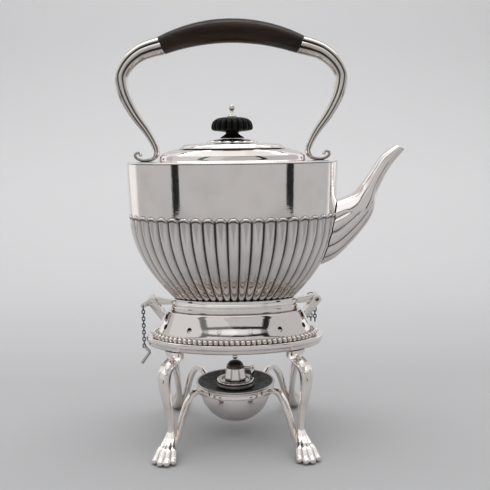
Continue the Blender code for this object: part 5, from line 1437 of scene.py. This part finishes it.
    def shank(self) -> Piece:
        """The cabriole shank with its bracket and knee.

        Returns:
            The shank, as (outward, forward, up) from the stand's middle.
        """
        stations = flow([
            (0.0592, 0.0424, 0.0276, 0.0054, 0.0048, 0.0818), (0.0588, 0.0421, 0.0284, 0.0054, 0.0048, 0.0802),
            (0.0566, 0.0424, 0.0308, 0.0050, 0.0044, 0.0774), (0.0574, 0.0446, 0.0336, 0.0052, 0.0040, 0.0757),
            (0.0612, 0.0482, 0.0384, 0.0058, 0.0034, 0.0730), (0.0632, 0.0510, 0.0424, 0.0060, 0.0026, 0.0694),
            (0.0634, 0.0524, 0.0450, 0.0057, 0.0018, 0.0645), (0.0625, 0.0528, 0.0466, 0.0052, 0.0010, 0.0566),
            (0.0603, 0.0521, 0.0474, 0.0045, 0.0005, 0.0470), (0.0582, 0.0512, 0.0471, 0.0038, 0.0, 0.0370),
            (0.0566, 0.0506, 0.0470, 0.0034, 0.0, 0.0270), (0.0562, 0.0506, 0.0475, 0.0033, 0.0, 0.0200),
            (0.0572, 0.0502, 0.0490, 0.0038, 0.0, 0.0140), (0.0590, 0.0500, 0.0510, 0.0044, 0.0, 0.0085)], 5)
        section = [(-0.10, 1.0), (-0.55, 0.785), (-0.95, 0.05), (-0.98, -0.45), (-0.70, -0.90), (0.0, -1.0),
                   (0.70, -0.90), (1.0, -0.40), (0.99, 0.30), (0.84, 0.74), (0.40, 0.94)]
        loops = []
        for outer, inner, forward, deep, slant, up in stations:
            middle, half = (outer + inner) / 2.0, (outer - inner) / 2.0
            loops.append([(middle + half * p, slant * p - (forward + deep * q), up) for p, q in section])
        return Bench.soften(Bench.wrap("shank", loops), 0.00028, 2, 20.0)

    def lappet(self) -> Piece:
        """The carved leaf that hangs from the bracket over the knee.

        Returns:
            The leaf, melted into one skin.
        """
        course = [(0.0505, -0.0342, 0.0782, 0.0014), (0.0522, -0.0378, 0.0764, 0.0026),
                  (0.0537, -0.0418, 0.0742, 0.0032), (0.0548, -0.0452, 0.0716, 0.0027),
                  (0.0554, -0.0474, 0.0692, 0.0017), (0.0557, -0.0488, 0.0672, 0.0007)]
        return Bench.cast(Bench.tube("lappet", flow(course, 4), 24), 0.0004, 2)

    def paw(self) -> Piece:
        """Lion's paw: four toes with knuckles, spread from the ankle, over a pad.

        Returns:
            The paw, melted into one skin.
        """
        toes = (((0.0521, 0.0484), (0.0503, 0.0690)), ((0.0530, 0.0488), (0.0553, 0.0717)),
                ((0.0540, 0.0488), (0.0606, 0.0708)), ((0.0549, 0.0484), (0.0652, 0.0664)))
        toe = flow([(0.0, 0.0200, 0.0013), (0.20, 0.0148, 0.0021), (0.42, 0.0110, 0.0026), (0.60, 0.0088, 0.0030),
                    (0.75, 0.0064, 0.0029), (0.88, 0.0043, 0.0027), (1.0, 0.0027, 0.0027)], 5)
        pad = [(0.0536, -0.0472, 0.0190, 0.0024), (0.0542, -0.0496, 0.0120, 0.0038),
               (0.0556, -0.0540, 0.0062, 0.0052), (0.0570, -0.0600, 0.0050, 0.0056),
               (0.0580, -0.0650, 0.0034, 0.0042)]
        flank = flow([(0.0534, -0.0484, 0.0170, 0.0022), (0.0545, -0.0530, 0.0112, 0.0036),
                      (0.0560, -0.0590, 0.0066, 0.0040)], 4)
        limbs = []
        for (root_x, root_y), (tip_x, tip_y) in toes:
            limbs.append(Bench.tube("toe", [
                (root_x + t * (tip_x - root_x), -(root_y + t * (tip_y - root_y)), up, radius)
                for t, up, radius in toe]))
        limbs.append(Bench.tube("pad", flow(pad, 4), 28))
        for lean in (-0.0030, 0.0030):
            limbs.append(Bench.tube("flank", [
                (x + lean * k / (len(flank) - 1), y, z, radius) for k, (x, y, z, radius) in enumerate(flank)]))
        return Bench.cast(Bench.join("paw", *limbs), 0.00036, 3)

    def legs(self) -> None:
        """The leg is modelled once, then set at each corner of the stand."""
        pattern = Bench.join("leg_pattern", self.shank(), self.lappet(), self.paw())
        points = Bench.places(pattern)
        points[:, 2] = np.clip(points[:, 2], 0.0, self.leg_top)
        points[:, 1] = np.clip(points[:, 1], -self.leg_front, self.leg_front)
        pattern.data.vertices.foreach_set("co", points.reshape(-1))
        Bench.mark_hollows(pattern, 0.00026)
        for side_x, side in ((-1.0, "left"), (1.0, "right")):
            for side_y, end in ((1.0, "front"), (-1.0, "back")):
                turn = Matrix.Translation((AXIS_X, 0.0, 0.0)) @ Matrix.Diagonal((side_x, side_y, 1.0, 1.0))
                piece = Bench.copied(pattern, f"paw_leg_{end}_{side}", turn)
                if side_x * side_y < 0.0:
                    piece.data.flip_normals()
                Bench.dress(piece, "stand", CAST, f"leg_{end}_{side}")
        bpy.data.objects.remove(pattern)

    def cradle(self) -> None:
        """Ring for the lamp and four bars with a ridge along their backs."""
        foot_roll = flow([(0.0326, 0.0400), (0.0332, 0.0398), (0.0339, 0.0401), (0.0340, 0.0410)], 3)
        top_roll = flow([(0.0337, 0.0420), (0.0336, 0.0428), (0.0337, 0.0436), (0.0340, 0.0446), (0.0338, 0.0453),
                         (0.0332, 0.0455)], 3)
        levels = foot_roll + top_roll + [(0.0324, 0.0453), (0.0324, 0.0400)]
        ring = Bench.stack("moulded_cradle", turned(levels), 96, closed=True)
        # The ring's foot and its top under the disc are painted dark: painted shade between parts.
        up = Bench.places(ring)[:, 2]
        below, above = np.clip((0.0403 - up) / 0.0003, 0.0, 1.0), np.clip((up - 0.0452) / 0.0002, 0.0, 1.0)
        Bench.mark(ring, np.maximum(below, above))
        Bench.dress(ring, "stand", POLISHED, "cradle_ring")
        for end in ("front", "back"):
            for side in ("left", "right"):
                Bench.fettle(f"cradle_bar_{end}_{side}", "stand", CAST, 0.0009, 0.5)

    def build(self) -> None:
        """Builds the whole stand."""
        self.ring()
        self.collar()
        self.border()
        self.struts()
        self.legs()
        self.cradle()


@dataclass
class SpiritLamp:
    """Bowl, disc, neck, wick and snuffer."""

    bowl_radius: float = 0.0305
    bowl_top: float = 0.0455
    bowl_bottom: float = 0.0114
    neck_top: float = 0.0486
    wick_foot: float = 0.0154
    wick_top: float = 0.0528
    wick_radius: float = 0.00465
    strand: float = 0.00025
    snuffer_radius: float = 0.0103
    snuffer_rise: float = 0.0165
    snuffer_ball: float = 0.0026

    def bowl(self) -> None:
        """Round bowl with a rolled edge under the disc."""
        depth, least, dark_level, fade = self.bowl_top - self.bowl_bottom, 0.001, 0.0388, 0.0006
        outer = [(self.bowl_radius * math.sqrt(max(0.006, 1.0 - share ** 2.6)), self.bowl_top - share * depth)
                 for share in np.linspace(0.0, 1.0, 40) ** 0.8]
        inner = [(max(radius - SHEET, least), max(height, self.bowl_bottom + SHEET)) for radius, height in outer]
        piece = Bench.stack("round_bowl", turned(outer[::-1] + inner), 128)
        # The top of the bowl under the disc is painted dark: painted shade.
        Bench.mark(piece, np.clip((Bench.places(piece)[:, 2] - dark_level) / fade, 0.0, 1.0))
        Bench.dress(piece, "lamp", POLISHED, "burner_bowl")

    def disc(self) -> None:
        """Dished disc, dark but for its rim."""
        levels = [(0.0345, 0.0458), (0.0347, 0.0463), (0.0345, 0.0469), (0.0338, 0.0470), (0.0322, 0.0464),
                  (0.0240, 0.0444), (0.0175, 0.0430), (0.0132, 0.0430), (0.0132, 0.0418), (0.0175, 0.0418),
                  (0.0290, 0.0446), (0.0302, 0.0458)]
        piece = Bench.soften(Bench.stack("dished_disc", turned(levels), 128, closed=True), 0.0002, 2)
        bright_from, fade = 0.0334, 0.0004
        Bench.mark(piece, 1.0 - np.clip((Bench.reach(piece) - bright_from) / fade, 0.0, 1.0))
        Bench.dress(piece, "lamp", OLD, "burner_disc")

    def neck(self) -> None:
        """Moulded neck and wick holder, painted dark as shade inside the flange and below it."""
        top = self.neck_top
        levels = [(0.0163, 0.0433), (0.0163, 0.0440), (0.0158, 0.0443), (0.0155, 0.0449), (0.0152, 0.0459),
                  (0.0155, 0.0466), (0.0161, 0.0469), (0.0163, 0.0475), (0.0161, 0.0481), (0.0154, top),
                  (0.0120, top), (0.0120, 0.0433)]
        piece = Bench.soften(Bench.stack("moulded_neck", turned(levels), 96, closed=True), 0.00015, 2)
        # Below the flange and inside it the neck is painted dark: painted shade.
        up, fade = Bench.places(piece)[:, 2], 0.0003
        within = np.clip((0.0156 - Bench.reach(piece)) / fade, 0.0, 1.0) * (up > 0.0482)
        Bench.mark(piece, np.maximum(0.85 * np.clip((0.0470 - up) / fade, 0.0, 1.0), 0.6 * within))
        Bench.dress(piece, "lamp", POLISHED, "burner_neck")
        holder = [(0.0066, top), (0.0066, 0.0476), (0.0117, 0.0476), (0.0117, 0.0462), (0.0066, 0.0462),
                  (0.0066, 0.0338), (0.0054, 0.0338), (0.0054, top)]
        piece = Bench.stack("flanged_holder", turned(holder), 64, closed=True)
        Bench.dress(Bench.soften(piece, 0.00015, 2), "lamp", OLD, "wick_holder")

    def wick(self) -> None:
        """Braided wick: strands that wind round it and a frayed top."""
        strands, winding, frayed_from, frayed = 6.0, 60.0, 0.97, 0.86
        angle = round_angles(64)
        loops = []
        for share in np.linspace(0.0, 1.0, 60):
            twist = winding * share
            braid = np.maximum(np.cos(strands * angle + twist), np.cos(strands * angle - twist))
            radius = (self.wick_radius + self.strand * braid) * (1.0 if share < frayed_from else frayed)
            loops.append(hoop(angle, radius, radius, self.wick_foot + share * (self.wick_top - self.wick_foot)))
        Bench.dress(Bench.wrap("braided_wick", loops), "lamp", COTTON, "wick")

    def snuffer(self) -> None:
        """Eight-sided bell with a stepped cap and a knob, and its hinge."""
        base, radius, rise, sides, per_side = self.neck_top, self.snuffer_radius, self.snuffer_rise, 8, 6
        count, crease, cap_level, ball = sides * per_side, 0.7, base + 0.612 * rise, self.snuffer_ball
        angle = (np.arange(count) / per_side + 0.5) * 2.0 * math.pi / sides
        off = (angle - math.pi / sides) % (2.0 * math.pi / sides) - math.pi / sides
        facet = math.cos(math.pi / sides) / np.cos(off) * (1.0 - 0.025 * (1.0 - (off * sides / math.pi) ** 2))
        arris = np.abs(off * sides / math.pi) ** 10
        outline = [(1.0, 0.004, 0.0), (1.0, 0.03, 0.0), (0.985, 0.10, 0.0), (0.94, 0.25, 0.0), (0.88, 0.42, 0.0),
                   (0.80, 0.60, 0.0)]
        dome = [(0.77, 0.615, 1.0), (0.74, 0.66, 1.0), (0.70, 0.74, 1.0), (0.62, 0.83, 1.0), (0.49, 0.915, 1.0),
                (0.34, 0.97, 1.0), (0.20, 0.99, 1.0)]
        stem = [(0.15, 1.02, 0.6), (0.14, 1.06, 0.2)]
        rows = [(radius * share, base + up * rise, painted_dark) for share, up, painted_dark in outline + flow(dome, 2) + stem]
        ball_level = base + 0.0200
        rows += [(ball * math.sin(a), ball_level - ball * math.cos(a), 0.0) for a in np.linspace(0.6, 3.06, 14)]
        # The lining inside the bell is painted dark as shade, the arrises of the facets get painted dark lines in
        # place of their reflections, and the cap and its stem are darkened.
        lining = [(max(r - SHEET, 0.0002), min(z, base + 0.0152), 1.0) for r, z, _ in rows[:len(outline) + 12]]
        loops, marks = [], []
        for reach, height, painted_dark in lining[::-1] + rows:
            side = facet if height < cap_level else np.ones(count)
            loops.append(hoop(angle, reach * side, reach * side, height))
            marks.append(np.maximum(np.full(count, painted_dark), arris * crease * (height < cap_level)))
        bell = Bench.soften(Bench.wrap("bell", loops, recess=np.array(marks)), 0.00025, 2, 30.0)
        pivot = Vector((AXIS_X + 0.0152, 0.0, base + 0.0095))
        half = Vector((0.0, 0.0011, 0.0))
        eye = Bench.rod("eye", pivot - half, pivot + half, 0.0019, 32, 0.0003)
        arm = Bench.rod("arm", Vector((AXIS_X + 0.0070, 0.0, pivot.z)), pivot, 0.0011, 24)
        piece = Bench.join("faceted_snuffer", bell, eye, arm)
        Bench.dress(piece, "snuffer", POLISHED, "snuffer", Shading.CRISP)
        Bench.fettle("snuffer_post", "lamp", CAST, 0.0002)
        Bench.fettle("snuffer_pin", "lamp", OLD, 0.0)

    def build(self) -> None:
        """Builds the lamp and its snuffer."""
        self.bowl()
        self.disc()
        self.neck()
        self.wick()
        self.snuffer()


@dataclass
class PinsAndChains:
    """Locking pins and the chains that keep them."""

    link_length: float = 0.0044
    link_half_width: float = 0.00155
    wire: float = 0.0004
    drawn: float = 1.1
    thickened: float = 1.25
    darkness: float = 0.78
    ring_radius: float = 0.0023
    left_links: int = 11
    pin_run_links: int = 7
    lug_run_links: int = 6
    shank_radius: float = 0.0014
    shank_length: float = 0.0124
    leaf_length: float = 0.0086
    leaf_half_width: float = 0.0026
    leaf_wire: float = 0.0006
    leaf_foot: float = 0.0012
    sling: float = 0.0018
    half_fork: float = 0.0075
    neck_reach: float = 0.0016
    bend: float = math.radians(80.0)
    pivot: Place = (0.0710, 0.0, 0.1198)

    def pitch(self) -> float:
        """Distance between the centres of two links.

        Returns:
            The distance.
        """
        bow = self.link_half_width - self.wire
        reach = self.link_length / 2.0 - self.link_half_width + bow * math.cos(math.pi / 8.0)
        return 2.0 * reach - self.drawn * self.wire

    def reach(self) -> float:
        """Distance from a link's centre to the middle of the wire at its end."""
        return (self.pitch() + self.drawn * self.wire) / 2.0

    def link(self) -> Piece:
        """One oval link, drawn out from a ring.

        Returns:
            The link.
        """
        Bench.clear()
        bpy.ops.mesh.primitive_torus_add(
            major_radius=self.link_half_width - self.wire, minor_radius=self.wire * self.thickened,
            major_segments=24, minor_segments=10, rotation=(math.pi / 2.0, 0.0, 0.0))
        piece = Bench.made("link", True)
        draw = self.link_length / 2.0 - self.link_half_width
        for sign in (-1.0, 1.0):
            for vertex in piece.data.vertices:
                vertex.select = vertex.co.z * sign > 1e-6
            for edge in piece.data.edges:
                edge.select = False
            for face in piece.data.polygons:
                face.select = False
            bpy.ops.object.mode_set(mode="EDIT")
            bpy.ops.mesh.select_mode(type="VERT")
            bpy.ops.transform.translate(value=(0.0, 0.0, sign * draw))
            bpy.ops.object.mode_set(mode="OBJECT")
        return piece

    def run(self, name: str, top: Vector, count: int, turned_first: bool) -> list[Piece]:
        """A plumb run of copied links, each turned a quarter from the last.

        Args:
            name: The run's name.
            top: The middle of the first link.
            count: How many links hang in it.
            turned_first: Whether the first link is turned.

        Returns:
            The links.
        """
        pattern = self.link()
        pieces = []
        for number in range(count):
            turn = math.pi / 2.0 if (number % 2 == 0) == turned_first else 0.0
            place = Matrix.Translation(top - Vector((0.0, 0.0, number * self.pitch())))
            pieces.append(Bench.copied(pattern, f"{name}_link_{number}", place @ Matrix.Rotation(turn, 4, "Z")))
        bpy.data.objects.remove(pattern)
        return pieces

    def wire_loop(self, name: str, centres: Sequence[Vector], side: Vector, radius: float) -> Piece:
        """A closed ring of round wire along flat centre points.

        Args:
            name: The ring's name.
            centres: Centre points of the wire.
            side: The way that the ring faces.
            radius: The wire's radius.

        Returns:
            The ring.
        """
        count = len(centres)
        loops = []
        for i, centre in enumerate(centres):
            along = (centres[(i + 1) % count] - centres[i - 1]).normalized()
            normal = side.cross(along)
            loops.append([centre + normal * radius * p + side * radius * q for p, q in round_section(10)])
        return Bench.wrap(name, loops, closed=True)

    def pin(self, name: str, neck: Vector, shank: Vector, loop_way: Vector) -> Piece:
        """A pin with a rounded shank and a leaf-shaped loop of wire.

        Args:
            name: The pin's name.
            neck: Where shank and loop meet.
            shank: The way that the shank points.
            loop_way: The way that the loop points.

        Returns:
            The pin.
        """
        rod = Bench.rod("shank", neck, neck + shank * self.shank_length, self.shank_radius, 32, 0.0003)
        side = shank.cross(loop_way).normalized()
        square = side.cross(loop_way)
        start = neck - loop_way * (self.leaf_foot - self.leaf_wire)
        length = self.leaf_length - 2.0 * self.leaf_wire
        centres = [start + loop_way * ((1.0 - math.cos(angle)) / 2.0 * length)
                   + side * self.leaf_half_width * math.sin(angle) for angle in round_angles(40)]
        return Bench.join(name, rod, self.wire_loop("loop", centres, square, 0.00055))

    def hang(self, name: str, body: str, node: str, *pieces: Piece) -> None:
        """Joins links to one dark chain and dresses it.

        Args:
            name: The chain's name.
            body: The body that it rides on.
            node: The node that it replaces.
            *pieces: Its links and rings.
        """
        piece = Bench.join(name, *pieces)
        Bench.mark(piece, np.full(len(piece.data.vertices), self.darkness))
        Bench.dress(piece, body, OLD_CHAIN, node, Shading.SMOOTH)

    def left(self) -> None:
        """The drawn pin on its chain, hanging from the left lug."""
        low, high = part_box("chain_left")
        eye_x = (low.x + high.x) / 2.0
        eye_y = (low.y + high.y) / 2.0
        ring_z = high.z - self.ring_radius - self.wire * 0.7
        ring = Vector((eye_x, eye_y, ring_z))
        centres = [ring + Vector((0.0, math.sin(a), math.cos(a))) * self.ring_radius for a in round_angles(32)]
        jump = self.wire_loop("jump", centres, Vector((1.0, 0.0, 0.0)), self.wire)
        first = ring - Vector((0.0, 0.0, self.ring_radius - self.drawn * self.wire + self.reach()))
        self.hang("linked_chain_left", "left_chain", "chain_left", jump,
                  *self.run("left", first, self.left_links, False))
        last = first.z - (self.left_links - 1) * self.pitch()
        sling = last - (self.reach() - self.leaf_wire - self.wire - GAP)
        half_leaf = self.leaf_length / 2.0
        girth_mean = math.sqrt((self.leaf_half_width ** 2 + half_leaf ** 2) / 2.0)
        shank_mass = self.shank_radius ** 2 * math.pi * self.shank_length
        loop_mass = 2.0 * self.leaf_wire ** 2 * 2.0 * math.pi * girth_mean
        total = shank_mass + loop_mass
        drop = self.leaf_length - self.sling
        back = drop - loop_mass * half_leaf / total
        aside = shank_mass * (self.shank_length / 2.0) / total
        tilt = math.atan2(aside * math.sin(self.bend), back - aside * math.cos(self.bend))
        loop_way = Vector((-math.sin(tilt), 0.0, math.cos(tilt)))
        shank = Matrix.Rotation(-(math.pi - self.bend), 3, "Y") @ loop_way
        pin = self.pin("leaf_pin_left", Vector((eye_x, eye_y, sling)) - loop_way * drop, shank, loop_way)
        Bench.dress(pin, "left_pin", OLD_CHAIN, "pin_left")

    def right(self) -> None:
        """The pin pushed home from behind, and its chain's two runs."""
        pivot = Vector((AXIS_X + self.pivot[0], 0.0, self.pivot[2]))
        neck = pivot + Vector((0.0, self.half_fork + self.neck_reach, 0.0))
        loop_way = Vector((-math.sin(self.bend), math.cos(self.bend), 0.0))
        pin = self.pin("leaf_pin_right", neck, Vector((0.0, -1.0, 0.0)), loop_way)
        Bench.dress(pin, "right_pin", OLD_CHAIN, "pin_right")
        sling = neck + loop_way * (0.56 * self.leaf_length - self.leaf_foot)
        clear = self.wire * math.sqrt(0.5) + GAP
        under_leaf = self.leaf_half_width * math.cos(math.pi / 10.0)
        on_loop = sling + Vector((0.0, 0.0, self.leaf_wire * math.sqrt(0.5) + clear - under_leaf))
        eye_drop, eye_radius = 0.0052, 0.0010
        on_lug = neck + Vector((0.0, 0.0, eye_radius - eye_drop - clear))
        half = Vector((0.0, 0.0, self.reach()))
        self.hang("linked_pin_run", "right_pin_run", "chain_right_pin_run",
                  *self.run("pin_run", on_loop - half, self.pin_run_links, True))
        self.hang("linked_lug_run", "right_lug_run", "chain_right_lug_run",
                  *self.run("lug_run", on_lug - half, self.lug_run_links, False))

    def build(self) -> None:
        """Builds both pins and their chains."""
        self.left()
        self.right()


@dataclass
class Studio:
    """Pale floor, soft lamps and the camera at the photograph's angle."""

    distance: float = 0.621
    height: float = 0.254
    pitch: float = math.radians(8.0)
    yaw: float = math.radians(-0.90)
    roll: float = math.radians(-0.63)
    lens: float = 53.7
    sensor: float = 36.0
    floor_reach: float = 0.95
    floor_front: float = -1.1
    floor_back: float = 0.55
    sweep_radius: float = 0.5
    backdrop_top: float = 1.9
    below_feet: float = 0.00002

    def camera(self) -> None:
        """Camera where the photograph was taken from."""
        forward = Vector((-math.sin(self.yaw), math.cos(self.yaw), 0.0)) * math.cos(self.pitch)
        forward -= Vector((0.0, 0.0, 1.0)) * math.sin(self.pitch)
        right = forward.cross(Vector((0.0, 0.0, 1.0))).normalized()
        up = right.cross(forward)
        across = right * math.cos(self.roll) + up * math.sin(self.roll)
        upright = up * math.cos(self.roll) - right * math.sin(self.roll)
        data = bpy.data.cameras.new("photo_camera")
        data.lens = self.lens
        data.sensor_width = self.sensor
        camera = bpy.data.objects.new("photo_camera", data)
        bpy.context.scene.collection.objects.link(camera)
        turn = Matrix((across, upright, -forward)).transposed().to_4x4()
        camera.matrix_world = Matrix.Translation((AXIS_X, -self.distance, self.height)) @ turn
        bpy.context.scene.camera = camera

    def softbox(self, name: str, place: Place, aim: Place, size: tuple[float, float], power: float) -> None:
        """A large soft lamp aimed at a point.

        Args:
            name: The lamp's name.
            place: Where it stands.
            aim: The point that it is aimed at.
            size: Its width and height.
            power: Its power in watts.
        """
        data = bpy.data.lights.new(name, "AREA")
        data.shape = "RECTANGLE"
        data.size, data.size_y = size
        data.energy = power
        lamp = bpy.data.objects.new(name, data)
        bpy.context.scene.collection.objects.link(lamp)
        way = Vector(aim) - Vector(place)
        lamp.matrix_world = Matrix.Translation(place) @ way.to_track_quat("-Z", "Y").to_matrix().to_4x4()

    @staticmethod
    def tent() -> Group:
        """Light of a cloth tent by direction: even walls, a brighter roof and a dark-seamed front panel.

        Returns:
            The node group, which gives the level for the direction looked in.
        """
        weave = Weave(
            "light_tent",
            {"Wall": 0.5, "Roof": 0.86, "Seam": 0.02, "Below": 0.1, "Side": 0.92, "Seam Bearing": 0.80,
             "Taper": 0.28, "Seam Level": 0.60}, {"Level": "NodeSocketFloat"})
        ask = weave.start
        way = weave.add("ShaderNodeTexCoord").outputs["Generated"]
        parts = weave.add("ShaderNodeSeparateXYZ", None, Vector=way).outputs
        aside, ahead = weave.maths("ABSOLUTE", parts["X"]), weave.maths("MULTIPLY", parts["Y"], -1.0)
        bearing = weave.maths("ARCTAN2", aside, ahead)
        drawn_in = weave.range(parts["Z"], 0.0, ask["Taper"], 0.02, 0.42)
        off = weave.maths("SUBTRACT", bearing, weave.maths("SUBTRACT", ask["Seam Bearing"], drawn_in))
        cloth = weave.range(weave.maths("ABSOLUTE", off), 0.0, 1.0, math.radians(3.0), math.radians(4.3))
        over = weave.maths("SUBTRACT", parts["Z"], ask["Seam Level"])
        beam = weave.maths("MAXIMUM", weave.range(weave.maths("ABSOLUTE", over), 0.0, 1.0, 0.030, 0.044),
                           weave.range(off, 0.0, 1.0, 0.0, 0.04), True)
        lit = weave.range(weave.range(bearing, 0.0, 1.0, 1.80, 1.94), ask["Wall"], ask["Side"])
        wall = weave.range(weave.times(cloth, beam), ask["Seam"], lit)
        roof = weave.range(weave.range(over, 0.0, 1.0, 0.03, 0.10), wall, ask["Roof"])
        level = weave.range(weave.range(parts["Z"], 1.0, 0.0, -0.32, -0.18), roof, ask["Below"])
        weave.feed(weave.end["Level"], level)
        return weave.tree

    def lamps(self) -> None:
        """A cloth tent all round, a soft key lamp from the upper left, one overhead and one for the backdrop."""
        self.softbox("key_softbox", (-0.75, -0.65, 1.10), (0.0, 0.0, 0.15), (2.0, 2.0), 1.8)
        self.softbox("top_softbox", (0.0, -0.05, 1.20), (0.0, 0.0, 0.20), (0.70, 0.30), 1.9)
        self.softbox("backdrop_softbox", (0.0, 0.25, 1.40), (0.0, 1.05, 0.50), (2.0, 0.8), 5.5)
        world = bpy.data.worlds.new("tent")
        world.use_nodes = True
        nodes, links = world.node_tree.nodes, world.node_tree.links
        tent = nodes.new("ShaderNodeGroup")
        tent.node_tree = self.tent()
        background = nodes["Background"]
        background.inputs["Color"].default_value = (1.0, 1.0, 1.0, 1.0)
        links.new(tent.outputs["Level"], background.inputs["Strength"])
        bpy.context.scene.world = world

    @staticmethod
    def paper() -> Group:
        """Pale paper, painted a little greyer where it lies on the table than where it hangs: shade and light
        painted on the one sheet.

        Returns:
            The node group.
        """
        weave = Weave("sweep_paper", {"Table": (0.50, 0.50, 0.51, 1.0), "Hung": (0.80, 0.80, 0.81, 1.0)},
                      {"Colour": "NodeSocketColor"})
        place = weave.add("ShaderNodeTexCoord").outputs["Object"]
        back = weave.add("ShaderNodeSeparateXYZ", None, Vector=place).outputs["Y"]
        # Paler towards the backdrop: painted light and shade on one sheet.
        rise = weave.range(back, 0.0, 1.0, 0.15, 0.95)
        share = weave.plus(rise, weave.range(weave.noise(2.0, 2.0), 0.0, 0.06))
        weave.feed(weave.end["Colour"], weave.blend(share, weave.start["Table"], weave.start["Hung"]))
        return weave.tree

    def floor(self) -> None:
        """Pale sweep: a floor that curves up into a backdrop."""
        Bench.clear()
        bpy.ops.mesh.primitive_plane_add(size=1.0, location=(0.0, 0.0, 0.0))
        sweep = Bench.made("pale_sweep")
        radius, back = self.sweep_radius, self.floor_back
        profile = [(self.floor_front, 0.0), (back, 0.0)]
        profile += [(back + radius * math.sin(a), radius - radius * math.cos(a))
                    for a in np.linspace(0.08, math.pi / 2.0, 20)]
        profile += [(back + radius, self.backdrop_top)]
        points = [(side * self.floor_reach, y, z - self.below_feet) for y, z in profile for side in (-1.0, 1.0)]
        faces = [(2 * i, 2 * i + 1, 2 * i + 3, 2 * i + 2) for i in range(len(profile) - 1)]
        sweep.data.clear_geometry()
        sweep.data.from_pydata(points, [], faces)
        Bench.shade(sweep, Shading.SMOOTH)
        material = bpy.data.materials.new("pale_paper")
        material.use_nodes = True
        shader = material.node_tree.nodes["Principled BSDF"]
        effect = material.node_tree.nodes.new("ShaderNodeGroup")
        effect.node_tree = self.paper()
        material.node_tree.links.new(effect.outputs["Colour"], shader.inputs["Base Color"])
        shader.inputs["Roughness"].default_value = 0.9
        sweep.data.materials.append(material)

    def build(self) -> None:
        """Sets up the stage."""
        self.camera()
        self.lamps()
        self.floor()
        bpy.context.scene.view_settings.view_transform = "Standard"


def main() -> None:
    """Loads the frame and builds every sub-assembly in order."""
    logging.basicConfig(level=logging.INFO, format="%(message)s")
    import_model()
    Studio().build()
    for assembly in (FlutedVessel(), BailHandle(), LidAndKnob(), OvalStand(), SpiritLamp(), PinsAndChains()):
        LOG.info("building %s", type(assembly).__name__)
        assembly.build()
    Bench.clear()


if __name__ == "__main__":
    main()
